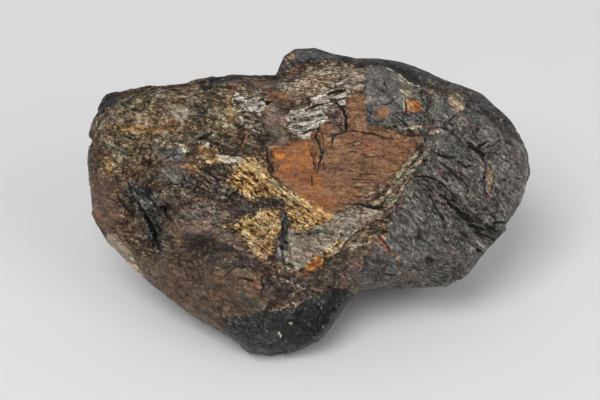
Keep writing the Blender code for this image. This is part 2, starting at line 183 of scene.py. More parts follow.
# Mineral patches on the map: corners, then softness of the edge in steps, then strength
PATCHES = {
    "rust": (
        (
            ((-42, 50), (-25, 54), (2, 63), (7, 76), (20, 76), (24, 67), (37, 69), (56, 72), (90, 67),
             (112, 62), (98, 37), (84, 14), (68, 3), (40, -3), (28, -14), (12, -22), (2, -12), (-12, 3),
             (-26, 14), (-35, 28)),
            4, 1.0,
        ),
        (((37, 107), (55, 107), (56, 70), (37, 70)), 1.5, 1.0),
        (((-30, 140), (-14, 148), (-12, 138), (-28, 134)), 5, 0.3),
        (((-45, 112), (-30, 112), (-20, 104), (-22, 97), (-38, 96)), 3, 0.8),
        (((67, 92), (80, 93), (79, 82), (68, 82)), 1.0, 1.0),
        (((-58, 120), (-38, 120), (-34, 112), (-56, 112)), 4, 0.5),
        (((-130, 50), (-95, 52), (-112, 22), (-128, 30)), 5, 0.4),
        (((88, -70), (115, -72), (110, -84), (85, -82)), 5, 0.4),
    ),
    "ochre": (
        (((-114, 57), (-96, 56), (-94, 44), (-112, 46)), 3, 0.85),
        (((-126, 42), (-108, 40), (-110, 26), (-126, 27)), 3, 0.7),
        (((-186, 34), (-160, 32), (-158, 22), (-180, 22)), 4, 0.35),
        (((-212, 40), (-200, 42), (-198, 24), (-210, 20)), 4, 0.5),
        (((-25, 143), (-14, 142), (-12, 136), (-24, 137)), 4, 0.45),
        (((38, -34), (62, -30), (78, -34), (70, -46), (54, -42), (40, -48)), 4, 0.5),
        (((67, 74), (78, 75), (77, 70), (67, 70)), 1.5, 0.7),
        (((38, 108), (54, 108), (54, 96), (40, 94)), 4, 0.35),
        (((-22, 148), (-14, 148), (-12, 140), (-22, 138)), 3, 0.4),
    ),
    "orange": (
        (
            ((-42, 50), (-10, 58), (4, 50), (14, 25), (26, 4), (24, -14), (10, -20), (-5, 0), (-25, 15),
             (-35, 30)),
            11, 0.8,
        ),
        (((-38, 52), (-25, 52), (-22, 42), (-36, 40)), 4, 0.85),
        (((4, 0), (28, 4), (28, -14), (12, -20), (2, -10)), 8, 0.75),
        (((38, 100), (54, 100), (54, 84), (40, 82)), 6, 0.35),
        (((69, 86), (75, 88), (79, 83), (70, 81)), 2.0, 0.6),
        (((-216, -12), (-208, -12), (-206, -22), (-213, -22)), 2, 0.5),
    ),
    "amber": (
        (((96, 100), (110, 99), (111, 88), (97, 87)), 0.8, 1.0),
        (((-16, -74), (-2, -63), (14, -52), (24, -55), (10, -67), (-6, -76)), 4, 0.6),
        (((-37, 51), (-27, 52), (-25, 44), (-35, 42)), 3, 0.6),
        (((-12, -6), (4, -8), (22, -18), (12, -24), (-4, -16)), 5, 0.42),
    ),
    "gold": (
        (
            ((-69, 41), (-48, 41), (-44, 38), (-39, 27), (-33, 18), (-24, 11), (-14, 3), (-3, 0), (0, -8),
             (8, -14), (24, -18), (10, -26), (-9, -31), (-20, -31), (-22, -12), (-27, -1), (-37, 5),
             (-48, 4), (-57, 0), (-70, 9), (-82, 19), (-76, 28)),
            4, 1.0,
        ),
        (
            ((-88, -26), (-74, -22), (-60, -17), (-46, -11), (-30, -11), (-29, -28), (-31, -38),
             (-46, -42), (-62, -38), (-75, -30)),
            3, 1.0,
        ),
        (((-72, -32), (-34, -34), (-36, -48), (-44, -62), (-56, -54)), 4, 0.75),
        (((-126, 42), (-96, 50), (-84, 40), (-96, 34), (-124, 28)), 5, 0.5),
        (((-8, -70), (-2, -60), (16, -47), (34, -40), (40, -44), (22, -54), (8, -64)), 3, 0.6),
        (((-26, 2), (-12, 6), (6, -2), (22, -10), (26, -18), (4, -16), (-16, -6)), 5, 0.5),
    ),
    "silver": (
        (((-78, 105), (-60, 108), (-47, 104), (-44, 92), (-55, 86), (-70, 88), (-76, 95)), 6, 0.8),
        (((-76, 88), (-50, 87), (-48, 65), (-72, 65)), 6, 0.42),
        (((-33, 120), (-18, 122), (-2, 118), (-4, 108), (-20, 108), (-32, 110)), 5, 0.7),
        (((0, 102), (15, 110), (38, 112), (36, 100), (25, 92), (6, 90)), 5, 0.95),
        (
            ((-18, 90), (-4, 93), (15, 92), (18, 82), (8, 72), (2, 62), (-10, 59), (-20, 68), (-22, 80)),
            5, 0.95,
        ),
        (((8, 134), (30, 134), (36, 126), (12, 124)), 5, 0.45),
        (((-111, 59), (-102, 60), (-101, 54), (-110, 52)), 1.2, 0.9),
        (((-27, 148), (-8, 150), (-4, 138), (-26, 134)), 6, 0.2),
    ),
    "pewter": (
        (
            ((-22, -30), (-10, -31), (6, -28), (20, -16), (40, -6), (62, -8), (74, -14), (66, -22),
             (48, -32), (30, -46), (8, -58), (-10, -68), (-20, -72), (-24, -62), (-24, -45)),
            4, 1.0,
        ),
        (((-75, 112), (-40, 112), (-42, 84), (-74, 84)), 6, 0.45),
        (((-149, 96), (-120, 92), (-124, 80), (-148, 84)), 3, 0.7),
        (((44, 16), (72, 18), (86, 9), (68, 0), (46, 0)), 6, 0.4),
    ),
    "slate": (
        (
            ((120, 100), (150, 112), (190, 85), (222, 60), (225, 0), (200, -45), (160, -90), (90, -94),
             (45, -84), (56, -60), (80, -26), (92, 5), (112, 40)),
            8, 1.0,
        ),
        (((54, 136), (86, 136), (104, 112), (104, 76), (66, 74), (55, 76)), 1.5, 1.0),
        (((86, 96), (130, 100), (140, 72), (90, 70)), 6, 0.9),
        (((98, 114), (128, 114), (132, 60), (110, 56), (98, 72)), 4, 1.0),
        (((-28, -13), (-23, -13), (-21, -36), (-18, -60), (-34, -60), (-31, -36)), 1.5, 1.0),
        (((-158, 55), (-124, 54), (-122, 38), (-150, 38)), 5, 0.75),
        (((-150, 34), (-116, 36), (-116, 16), (-146, 14)), 5, 0.75),
        (((60, 30), (88, 30), (80, 8), (50, 4)), 9, 0.45),
        (((-32, 151), (-10, 151), (-6, 138), (-30, 134)), 5, 0.6),
    ),
    # Charcoal: dark grey along the top rim and under the nose, partly the rock's colour, partly painted shade
    "charcoal": (
        (
            ((-36, 160), (-8, 160), (40, 150), (110, 142), (205, 90), (240, 60), (205, 66), (176, 84),
             (148, 100), (126, 112), (98, 117), (84, 127), (72, 135), (44, 138), (-10, 136), (-36, 124)),
            1.5, 1.0,
        ),
        (((-104, 126), (-60, 130), (-34, 128), (-36, 120), (-66, 122), (-100, 114)), 1.5, 1.0),
        (
            ((-80, -118), (-60, -113), (-44, -111), (-25, -110), (-10, -103), (4, -96), (18, -90),
             (34, -88), (46, -98), (52, -108), (30, -150), (-60, -170), (-92, -140)),
            2.0, 1.0,
        ),
        (((50, -56), (66, -50), (84, -66), (92, -84), (64, -86), (48, -80)), 5, 0.5),
        (((-222, 100), (-200, 112), (-188, 104), (-196, 92), (-215, 84)), 5, 0.85),
    ),
    # Black: partly the rock's own black, partly painted shade on the nose's underside and in holes and pits
    "black": (
        (
            ((-26, -122), (-14, -112), (4, -102), (22, -104), (20, -122), (-4, -142), (-30, -152),
             (-34, -138)),
            4, 0.85,
        ),
        (((18, -88), (30, -86), (36, -92), (24, -104), (14, -110), (14, -98)), 3, 1.0),
        (((-174, 16), (-164, 16), (-155, 6), (-160, 0), (-170, 4)), 3, 0.8),
        (((-164, -16), (-156, -16), (-152, -36), (-150, -50), (-156, -50), (-163, -30)), 2.5, 0.6),
        (((134, 0), (150, -4), (162, -18), (196, -24), (192, -38), (160, -34), (146, -18)), 6, 0.4),
        (((114, -57), (122, -57), (122, -65), (115, -65)), 2, 0.6),
        (((166, -48), (172, -48), (172, -53), (166, -53)), 1.5, 0.8),
        (((-44, 99), (-39, 99), (-39, 95), (-44, 95)), 1.2, 0.9),
        (
            ((168, -46), (176, -56), (150, -80), (116, -92), (88, -94), (92, -84), (128, -76), (150, -60)),
            5, 0.3,
        ),
        (((-22, -120), (-10, -120), (-10, -127), (-22, -127)), 2, 0.8),
    ),
    "olive": (
        (
            ((-212, 96), (-120, 118), (-88, 114), (-60, 90), (-75, 60), (-120, 70), (-150, 40),
             (-205, 30), (-214, 60)),
            10, 0.8,
        ),
        (((48, -44), (68, -40), (82, -52), (92, -68), (90, -84), (65, -86), (48, -76)), 4, 0.45),
        (((130, 76), (155, 74), (154, 66), (134, 66)), 4, 0.5),
    ),
    "tan": (
        (
            ((-14, 124), (0, 134), (25, 136), (54, 134), (54, 108), (40, 112), (20, 112), (0, 104),
             (-12, 96), (-22, 108)),
            4, 0.85,
        ),
        (((92, 112), (134, 110), (134, 101), (94, 101)), 3, 0.5),
        (((136, 104), (150, 105), (154, 93), (141, 89)), 2, 0.8),
        (((-174, 86), (-161, 85), (-158, 72), (-174, 72)), 3, 0.75),
        (
            ((-200, -34), (-193, -35), (-181, -50), (-173, -62), (-164, -76), (-171, -76), (-183, -63),
             (-194, -50), (-203, -40)),
            1.2, 1.0,
        ),
        (((-24, -103), (-10, -103), (-10, -107), (-24, -108)), 1.5, 0.6),
        (((18, -91), (30, -92), (31, -98), (20, -97)), 2, 0.8),
        (((30, -42), (52, -32), (72, -30), (66, -44), (48, -50), (32, -54)), 4, 0.6),
        (((41, -7), (76, -12), (74, -18), (44, -15)), 2, 0.6),
        (((-64, 28), (-30, 8), (-20, 0), (-26, -3), (-60, 20)), 3, 0.3),
    ),
    # Umber: dark brown, partly the rock's colour, partly painted shade under the fold that runs to the nose
    "umber": (
        (
            ((-130, -32), (-108, -32), (-88, -40), (-62, -53), (-36, -68), (-50, -70), (-75, -62),
             (-100, -64), (-120, -54)),
            5, 0.75,
        ),
        (((-98, -45), (-72, -54), (-44, -67), (-34, -74), (-50, -74), (-76, -65), (-100, -56)), 2, 1.0),
        (
            ((-84, -2), (-70, 5), (-58, -2), (-46, 1), (-34, 3), (-24, -1), (-26, -9), (-46, -9),
             (-62, -15), (-80, -18)),
            4, 0.9,
        ),
        (((121, 53), (136, 49), (152, 47), (166, 37), (160, 30), (142, 37), (124, 44)), 3, 0.9),
        (((-46, -84), (-30, -80), (-10, -90), (-6, -98), (-30, -98), (-48, -96)), 4, 0.6),
    ),
    "plum": (
        (((-45, 97), (-25, 97), (-23, 60), (-28, 54), (-44, 51), (-48, 75)), 3, 0.9),
        (((20, 92), (36, 94), (36, 68), (21, 67)), 1.5, 1.0),
        (((44, 26), (72, 24), (70, 15), (48, 17)), 3, 0.5),
        (
            ((-126, 25), (-90, 30), (-84, 14), (-70, 4), (-36, -6), (-60, -10), (-90, -22), (-74, -36),
             (-50, -66), (-33, -74), (-60, -66), (-90, -50), (-120, -42), (-150, -20)),
            6, 0.85,
        ),
        (
            ((-30, -72), (10, -72), (36, -58), (50, -70), (44, -95), (6, -96), (-30, -108), (-50, -90)),
            6, 0.75,
        ),
        (((125, 52), (160, 48), (170, 15), (140, 12)), 8, 0.45),
        (((180, 100), (215, 80), (210, 70), (182, 88)), 4, 0.4),
    ),
    "fibrous": (
        (
            ((-180, 18), (-168, 17), (-156, 9), (-148, -4), (-149, -20), (-149, -52), (-160, -52),
             (-165, -28), (-174, -8), (-185, 4)),
            6, 0.95,
        ),
        (((138, -3), (152, -4), (170, -20), (196, -20), (196, -36), (172, -40), (154, -32)), 9, 0.25),
    ),
    "pale": (
        (((-96, 46), (-88, 45), (-66, 40), (-80, 36), (-91, 39)), 1.2, 1.0),
        (((-188, 34), (-160, 33), (-158, 22), (-182, 22)), 4, 0.3),
        (((-205, 96), (-150, 108), (-140, 88), (-190, 80)), 8, 0.16),
        (((-130, 66), (-80, 66), (-80, 50), (-130, 48)), 8, 0.16),
        (((-40, 130), (50, 132), (50, 112), (-30, 112)), 8, 0.2),
        (((139, 102), (149, 103), (152, 95), (142, 92)), 3, 0.3),
    ),
    "red": (
        (((-58, -81), (-48, -82), (-50, -87), (-58, -85)), 1.5, 0.5),
        (((52, 58), (62, 58), (62, 50), (52, 50)), 4, 0.45),
        (((120, 36), (150, 40), (156, 14), (134, 16)), 6, 0.2),
        (((72, 53), (84, 52), (84, 46), (72, 47)), 3, 0.55),
        (((64, 47), (92, 44), (92, 40), (66, 40)), 3, 0.45),
        (((-66, -38), (-42, -40), (-38, -58), (-50, -60)), 5, 0.4),
        (((-120, -10), (-90, -8), (-84, -30), (-112, -32)), 6, 0.18),
        (((-188, 36), (-166, 34), (-164, 24), (-184, 24)), 4, 0.3),
        (((-138, -8), (-122, -12), (-110, -30), (-125, -28)), 5, 0.3),
    ),
}
# Mineral streaks on the map: course, half width in steps, strength
STREAKS = {
    "ochre": (
        (((-202, 73), (-180, 71), (-158, 70), (-136, 71)), 2.8, 1.0),
        (((-80, 105), (-80, 84), (-86, 70)), 3.0, 1.0),
        (((-108, 68), (-86, 68)), 1.8, 0.9),
        (((178, 36), (180, 22), (178, 6)), 2.4, 0.58),
        (((80, -50), (92, -66)), 2.2, 0.6),
        (((60, 35), (90, 31)), 2.0, 0.4),
        (((-47, 38), (-42, 24), (-33, 12), (-20, 2), (-6, -4)), 4.0, 0.6),
    ),
    "orange": (
        (((-160, 70), (-148, 73), (-138, 78), (-128, 83)), 1.8, 0.85),
        (((-63, 76), (-66, 60), (-70, 47)), 1.5, 0.85),
        (((-10, -76), (24, -54)), 2.0, 0.6),
    ),
    "red": (
        (((72, -19), (54, -26), (36, -44)), 1.6, 0.85),
        (((70, -38), (80, -54)), 2.2, 0.85),
        (((-33, -74), (-52, -66), (-68, -62)), 1.0, 0.7),
        (((178, 8), (178, -2)), 1.8, 0.7),
        (((178, 82), (196, 70)), 1.8, 0.4),
        (((112, 71), (126, 69)), 1.6, 0.8),
        (((56, 57), (66, 55), (76, 50)), 1.1, 0.75),
        (((-96, -69), (-84, -65), (-62, -64), (-46, -69)), 0.9, 0.55),
        (((-158, 66), (-161, 50), (-163, 36)), 1.6, 0.35),
        (((84, 60), (98, 56)), 1.1, 0.7),
        (((60, 43), (88, 41)), 0.9, 0.7),
        (((48, 19), (74, 16)), 0.9, 0.6),
    ),
    "pale": (
        (((-134, 57), (-126, 52), (-120, 49)), 1.1, 0.9),
        (((96, 72), (110, 71), (128, 68)), 1.9, 1.0),
        (((-132, 55), (-126, 50), (-121, 48)), 1.3, 1.0),
        (((109, 60), (106, 48), (97, 34), (86, 16), (78, 6)), 1.0, 0.55),
        (((117, 50), (108, 36), (96, 20), (86, 4), (76, -8)), 1.2, 0.6),
        (((66, -18), (52, -27), (38, -38), (24, -50)), 0.9, 0.8),
        (((-36, -76), (-18, -83), (-4, -91)), 0.8, 0.75),
        (((95, 102), (94, 89)), 0.9, 0.9),
        (((74, 134), (86, 127), (98, 118), (112, 113)), 0.8, 0.6),
        (((-180, -58), (-174, -66), (-168, -74)), 1.4, 0.6),
        (((62, 46), (80, 42)), 0.7, 0.6),
        (((28, 36), (44, 30)), 0.7, 0.5),
        # These five short pale streaks on the nose are painted glints, highlights laid into its colour
        (((-22, -123), (-16, -124)), 0.9, 0.9),
        (((-32, -133), (-28, -137)), 0.8, 0.8),
        (((-26, -117), (-23, -119)), 0.6, 0.8),
        (((-2, -127), (1, -129)), 0.6, 0.7),
        (((12, -107), (13, -110)), 0.6, 0.7),
    ),
    "tan": (
        (((-73, -118), (-55, -112), (-30, -110), (-8, -103)), 0.9, 0.55),
        (((112, 62), (109, 52), (97, 35), (84, 12), (76, 2), (62, -4)), 3.2, 1.0),
        (((118, 52), (104, 32), (90, 12), (80, -4), (70, -16), (50, -30), (34, -44)), 3.4, 1.0),
    ),
    # Black streaks: painted shade in the pits, holes, folds and cracks of the right-hand mass and the nose
    "black": (
        (((137, -3), (150, -10)), 2.8, 1.0),
        (((149, -12), (160, -22)), 3.4, 1.0),
        (((158, -25), (174, -30)), 2.6, 1.0),
        (((176, -28), (192, -34)), 2.2, 1.0),
        (((186, -24), (198, -23)), 1.8, 0.9),
        (((143, 3), (148, -2)), 1.6, 0.9),
        (((160, 53), (168, 49), (174, 44)), 2.6, 1.0),
        (((160, 58), (164, 54)), 1.6, 1.0),
        (((124, 52), (132, 46), (143, 44)), 1.4, 0.6),
        (((148, 40), (155, 34), (163, 34)), 1.3, 0.6),
        (((168, -37), (177, -40)), 1.2, 0.8),
        (((133, 24), (140, 18)), 1.5, 0.8),
        (((14, -97), (22, -92), (31, -93)), 1.6, 0.95),
        (((24, -94), (20, -106), (12, -118)), 1.3, 0.9),
        (((-2, -118), (-8, -130), (-6, -140)), 1.1, 0.8),
        (((122, -11), (130, -18)), 1.2, 0.8),
        (((151, -32), (158, -38)), 1.3, 0.8),
        (((160, -6), (168, -9)), 1.1, 0.8),
        (((177, -15), (186, -19)), 1.2, 0.8),
        (((127, -1), (136, -7)), 1.5, 0.95),
        (((151, -7), (159, -12)), 1.6, 0.9),
        (((140, -13), (149, -20)), 1.5, 0.9),
        (((165, -17), (173, -23)), 1.6, 0.9),
        (((170, -34), (181, -38)), 1.4, 0.9),
        (((186, -32), (197, -37)), 1.8, 0.9),
    ),
}
# Worn faces on the map, where chips and grit are low: corners, softness of the edge in steps, and strength
SMOOTH_FACES = (
    (
        ((-212, -6), (-196, -14), (-184, -40), (-150, -62), (-118, -46), (-92, -48), (-75, -60),
         (-58, -70), (-42, -78), (-44, -100), (-58, -110), (-82, -114), (-100, -135), (-150, -110),
         (-215, -50)),
        8, 0.55,
    ),
    (
        ((-82, -116), (-58, -112), (-25, -112), (10, -96), (48, -96), (60, -120), (20, -160), (-60, -165),
         (-90, -140)),
        5, 0.4,
    ),
    (((-216, 30), (-196, 30), (-190, 0), (-200, -30), (-220, -10)), 6, 0.6),
    (((-38, 50), (0, 60), (8, 40), (20, 25), (30, 0), (20, -18), (0, -10), (-25, 15)), 6, 0.65),
    (((16, 64), (90, 64), (100, 44), (60, 0), (20, 10)), 8, 0.35),
    (((55, 134), (84, 134), (100, 112), (98, 90), (58, 76)), 3, 0.7),
    (((-46, 98), (-24, 98), (-22, 58), (-44, 52)), 4, 0.75),
    (((-84, -74), (-72, -67), (-50, -68), (-44, -76), (-60, -81), (-75, -80)), 1.5, 0.85),
    (((-150, 97), (-120, 93), (-123, 79), (-148, 83)), 3, 0.7),
    (((-175, 87), (-160, 86), (-157, 71), (-174, 71)), 3, 0.7),
    (((-160, 54), (-124, 52), (-118, 20), (-146, 16)), 6, 0.45),
    (((20, 92), (35, 93), (35, 69), (21, 68)), 2, 0.5),
    (((95, 12), (112, 10), (140, -30), (150, -56), (130, -64), (100, -60), (92, -20)), 8, 0.3),
    (((190, 60), (222, 50), (226, 0), (200, -14), (184, 6)), 8, 0.3),
    (
        ((-36, 160), (-8, 160), (45, 150), (110, 142), (205, 90), (235, 60), (205, 66), (176, 84),
         (148, 100), (126, 112), (98, 117), (84, 127), (72, 135), (44, 138), (-10, 136), (-36, 124)),
        2, 0.9,
    ),
    (((-104, 126), (-60, 130), (-34, 128), (-36, 118), (-66, 120), (-100, 112)), 3, 0.7),
    (((-24, -34), (6, -32), (30, -18), (60, -12), (60, -26), (20, -52), (-20, -70)), 5, 0.3),
    (((48, -42), (70, -40), (90, -70), (88, -84), (60, -84), (46, -70)), 5, 0.5),
    (((-150, -18), (-90, -22), (-72, -38), (-50, -64), (-60, -68), (-90, -52), (-130, -48)), 6, 0.6),
    (
        ((104, 100), (150, 112), (195, 85), (228, 50), (228, -10), (200, -50), (160, -92), (90, -94),
         (50, -84), (84, -26), (95, 5), (112, 40)),
        8, 0.15,
    ),
)
# Out of the map's sight, patches of some minerals lie by chance: their size in millimetres, and the noise
# that a patch starts and is full at
STRAY_PATCHES = {
    "rust": (14.0, 0.36, 0.62),
    "ochre": (8.0, 0.52, 0.8),
    "slate": (24.0, -0.05, 0.3),
    "charcoal": (21.0, 0.0, 0.35),
    "olive": (19.0, 0.1, 0.4),
    "tan": (13.0, 0.62, 0.95),
    "plum": (15.0, 0.2, 0.45),
    "pewter": (12.0, 0.6, 0.95),
}
# Cracks, slits and creases on the map: their course, half width in steps, and depth in millimetres
CRACKS = (
    (((-158, 66), (-160, 50), (-162, 36), (-160, 23)), 0.7, 0.4),
    (((-112, 61), (-105, 63), (-99, 64)), 1.9, 1.3),
    (((-110, 117), (-104, 113), (-98, 114)), 1.9, 1.2),
    (((-103, 112), (-98, 120), (-86, 124)), 1.0, 0.6),
    (((-104, 111), (-122, 101), (-136, 96)), 0.7, 0.4),
    (((-152, 38), (-138, 46), (-122, 47)), 0.8, 0.4),
    (((-148, 34), (-132, 38), (-114, 37)), 0.6, 0.3),
    (((-114, 34), (-98, 25), (-84, 18)), 0.8, 0.7),
    (((-119, 31), (-104, 21), (-90, 14)), 0.8, 0.7),
    (((-122, 27), (-108, 17), (-95, 10)), 0.8, 0.7),
    (((-124, 20), (-110, 12), (-98, 7)), 0.7, 0.7),
    (((-158, 22), (-164, 14), (-160, 8)), 0.7, 0.4),
    (((-130, 28), (-126, 20), (-128, 12)), 1.0, 0.6),
    (((-46, 100), (-42, 97), (-38, 98)), 1.2, 0.8),
    (((-66, 72), (-68, 60), (-70, 48)), 0.6, 0.3),
    (((-44, 52), (-42, 40), (-37, 29)), 1.1, 0.7),
    (((-46, 76), (-50, 60), (-45, 48)), 0.7, 0.4),
    (((9, 76), (6, 62), (11, 48), (8, 28)), 1.0, 0.8),
    (((12, 70), (14, 56), (13, 44), (14, 30)), 0.7, 0.6),
    (((-2, 56), (2, 44), (7, 28)), 0.7, 0.6),
    (((-3, 64), (2, 52), (8, 42)), 0.9, 0.6),
    (((22, 67), (23, 60), (22, 54)), 1.0, 0.7),
    (((0, 26), (2, 20), (3, 13)), 0.6, 0.4),
    (((21, 65), (35, 69), (50, 68), (68, 64), (84, 60)), 0.9, 0.5),
    (((15, 33), (48, 27), (84, 22)), 0.7, 0.4),
    (((22, 13), (44, 13), (72, 8)), 0.6, 0.3),
    (((50, 40), (66, 44), (86, 38)), 0.6, 0.3),
    (((41, -4), (48, -5), (63, -8), (79, -9)), 1.4, 1.0),
    (((15, 106), (24, 107), (36, 111)), 1.2, 0.9),
    (((-1, 91), (6, 94), (13, 97)), 1.1, 0.8),
    (((-8, 67), (0, 69), (9, 72)), 1.1, 0.8),
    (((26, 113), (33, 117)), 0.9, 0.6),
    (((27, 98), (34, 88), (36, 68)), 1.4, 0.9),
    (((20, 64), (30, 67), (36, 69)), 1.0, 0.8),
    (((74, 120), (77, 113)), 0.8, 0.8),
    (((72, 96), (80, 98), (89, 104)), 0.8, 0.5),
    (((80, 86), (98, 88), (104, 85)), 0.7, 0.4),
    (((95, 98), (96, 90)), 1.0, 0.7),
    (((62, 108), (62, 92), (58, 78)), 0.6, 0.3),
    (((108, 92), (128, 79), (142, 75)), 0.6, 0.4),
    (((80, 78), (107, 79), (134, 76)), 0.6, 0.4),
    (((112, 70), (134, 72), (150, 66)), 0.6, 0.4),
    (((134, 78), (144, 82), (152, 88)), 0.9, 0.6),
    (((96, 64), (108, 63), (124, 65)), 0.8, 0.4),
    (((159, 58), (167, 51), (175, 44), (177, 36)), 1.7, 1.5),
    (((182, 36), (184, 22), (181, 6)), 0.6, 0.6),
    (((172, 50), (182, 54), (190, 60)), 0.6, 0.5),
    (((176, 46), (186, 48), (194, 54)), 0.5, 0.5),
    (((167, 52), (176, 58)), 1.1, 0.8),
    (((177, 36), (174, 18), (178, 2)), 1.0, 0.7),
    (((106, 25), (117, 23), (128, 20)), 1.4, 0.9),
    (((126, 22), (140, 10), (148, 0)), 1.0, 0.7),
    (((112, 18), (122, 8), (128, -2)), 0.7, 0.4),
    (((119, 4), (128, -8), (136, -20)), 0.8, 0.8),
    (((130, -14), (136, -24)), 1.0, 0.8),
    (((104, 8), (112, -4), (118, -14)), 0.5, 0.4),
    (((100, -14), (108, -28), (112, -40)), 0.5, 0.4),
    (((122, 50), (133, 44), (146, 43)), 1.3, 0.9),
    (((148, 40), (156, 33), (165, 34)), 1.0, 0.8),
    (((128, 38), (138, 33), (147, 24)), 0.7, 0.5),
    (((140, 28), (152, 20), (160, 8)), 1.0, 0.5),
    (((138, -3), (149, -10)), 1.5, 1.2),
    (((150, -12), (159, -22)), 1.9, 1.5),
    (((158, -25), (173, -29)), 1.4, 1.2),
    (((176, -27), (190, -34)), 1.2, 1.0),
    (((185, -23), (198, -25)), 0.9, 0.8),
    (((133, 6), (142, -1)), 0.9, 0.8),
    (((164, -32), (178, -36), (190, -42)), 1.2, 0.8),
    (((167, -48), (171, -52)), 1.2, 0.9),
    (((118, -59), (123, -63)), 1.6, 1.0),
    (((193, 20), (204, 23), (213, 21)), 0.9, 0.4),
    (((186, 46), (196, 38), (208, 36)), 0.7, 0.4),
    (((74, -75), (85, -75)), 1.1, 0.9),
    (((86, -21), (97, -33), (104, -46)), 0.7, 0.4),
    (((60, -28), (74, -42), (80, -52)), 0.8, 0.4),
    (((73, -19), (60, -24), (52, -29), (43, -35), (33, -46)), 1.0, 0.7),
    (((113, 56), (108, 44), (100, 34)), 0.7, 0.6),
    (((104, 34), (96, 20), (86, 6)), 0.7, 0.6),
    (((104, 22), (111, 14), (120, 6)), 0.6, 0.5),
    (((96, 6), (103, -4), (108, -12)), 0.5, 0.4),
    (((120, -22), (130, -34), (138, -44)), 0.6, 0.5),
    (((142, -34), (152, -44), (158, -56)), 0.5, 0.4),
    (((186, 10), (190, 0), (188, -12)), 0.6, 0.4),
    (((150, 26), (158, 20), (164, 8)), 0.6, 0.5),
    (((190, 72), (198, 62), (206, 56)), 0.6, 0.5),
    (((150, 100), (160, 92), (174, 84)), 0.6, 0.4),
    (((128, -62), (140, -66), (150, -74)), 0.6, 0.4),
    (((36, 56), (46, 58), (58, 55)), 0.5, 0.5),
    (((30, 46), (44, 48), (60, 44)), 0.5, 0.5),
    (((40, 20), (56, 20), (70, 16)), 0.5, 0.5),
    (((-84, -44), (-70, -54), (-56, -62), (-34, -72)), 0.8, 0.5),
    (((-71, -79), (-64, -80), (-56, -82)), 1.0, 0.9),
    (((-83, -74), (-72, -67), (-50, -68)), 0.6, 0.6),
    (((-96, -70), (-78, -66), (-62, -67), (-46, -73)), 0.8, 0.4),
    (((-48, -76), (-47, -86), (-50, -96)), 0.9, 0.5),
    (((-33, -74), (-18, -82), (-4, -90)), 0.9, 0.6),
    (((-82, -92), (-76, -104), (-64, -112)), 0.6, 0.3),
    (((-22, -120), (-12, -126)), 2.2, 1.2),
    (((6, -103), (12, -114), (8, -128)), 0.9, 0.8),
    (((20, -112), (27, -103)), 0.8, 0.7),
    (((-4, -107), (-13, -119)), 0.6, 0.5),
    (((0, -121), (10, -132)), 0.8, 0.6),
    (((-46, -116), (-48, -132)), 0.5, 0.4),
    (((-25, -12), (-26, -24), (-26, -36)), 0.8, 1.2),
    (((-28, -46), (-27, -60), (-24, -73)), 0.9, 0.8),
    (((-182, 16), (-174, 4), (-172, -6)), 1.9, 1.6),
    (((-176, 2), (-170, -8), (-164, -16)), 1.5, 1.4),
    (((-192, 4), (-184, -8), (-176, -12)), 1.4, 0.9),
    (((-168, -12), (-158, -26), (-154, -40), (-150, -54)), 2.0, 1.2),
    (((-160, 0), (-146, -10), (-136, -24)), 1.1, 0.7),
    (((-72, 12), (-78, 4), (-84, -2)), 1.5, 0.8),
    (((-126, -60), (-112, -66), (-100, -60)), 0.7, 0.3),
)
# Smooth folds sunk into the face, on the map: their course, half width in steps, and depth in millimetres
FOLDS = (
    (((-158, -40), (-120, -42), (-92, -46), (-72, -56), (-54, -66), (-34, -73)), 4.5, 1.1),
    (((122, 50), (134, 45), (147, 42)), 3.0, 1.0),
    (((146, 40), (156, 34), (166, 33)), 2.6, 0.9),
    (((124, 40), (136, 34), (146, 26)), 2.2, 0.6),
    (((136, -3), (148, -9), (160, -22), (176, -28), (196, -30)), 2.6, 0.3),
    (((18, -84), (28, -92), (20, -104), (12, -116)), 3.5, 1.3),
    (((2, -58), (10, -72), (20, -84)), 2.0, 0.5),
    (((10, -56), (20, -68), (30, -80)), 2.0, 0.5),
    (((-86, -20), (-78, -30), (-70, -40)), 2.4, 0.5),
    (((-180, 30), (-166, 26), (-150, 22)), 2.5, 0.5),
    (((96, -22), (108, -36), (112, -54)), 3.0, 0.5),
    (((60, -84), (80, -62), (96, -50)), 3.0, 0.5),
)
# Raised edges on the map, broken into strands: course, half width in steps, and height in millimetres
RIDGES = (
    (((112, 63), (109, 52), (97, 35), (84, 12), (76, 0), (60, -4)), 3.4, 0.8),
    (((120, 52), (104, 32), (90, 12), (80, -4), (70, -16), (50, -30), (34, -44), (8, -62)), 3.8, 0.9),
    (((95, 67), (108, 68), (126, 70)), 2.0, 0.4),
    (((-96, 45), (-82, 41), (-67, 39)), 2.0, 0.4),
    (((138, 102), (146, 102), (152, 94)), 4.0, 0.9),
)
# The grain of each mineral: its slope on the map in degrees, and how much longer than wide its chips are; the
# chips' sizes in millimetres and their height as a share of size; its layers' thickness and height
GRAINS = {
    "whole stone": (-18.0, 1.7, (9.0, 4.2, 2.0), 0.16, 2.9, 0.28),
    "rust": (-7.0, 2.4, (7.0, 2.6), 0.07, 2.9, 0.22),
    "gold": (-36.0, 1.5, (3.6, 1.9), 0.24, 2.2, 0.3),
    "silver": (13.0, 2.2, (4.6, 2.2), 0.16, 2.5, 0.6),
    "tan": (6.0, 2.2, (4.0, 2.0), 0.12, 1.9, 0.4),
    "slate": (-43.0, 2.2, (9.0, 4.0, 2.2), 0.15, 3.2, 0.22),
    "charcoal": (-30.0, 1.5, (10.0, 4.5), 0.18, 4.0, 0.25),
    "fibrous": (-54.0, 3.5, (3.0, 1.6), 0.26, 1.5, 0.6),
}

# Where the noise and the chance points of each use start
WAVE_SEED, RIPPLE_SEED, GAP_SEED = 0, 50, 327
STRAY_SEED, CHIP_SEED, STRAND_SEED, LAYER_SEED = 400, 500, 600, 700
# How far apart the rolls of noise are that are used together
WAVE_SHIFT, RIPPLE_SHIFT, STRAY_SHIFT, AXIS_SHIFT, LAYER_SHIFT = 7.3, 3.1, 11.3, 5.7, 7.3
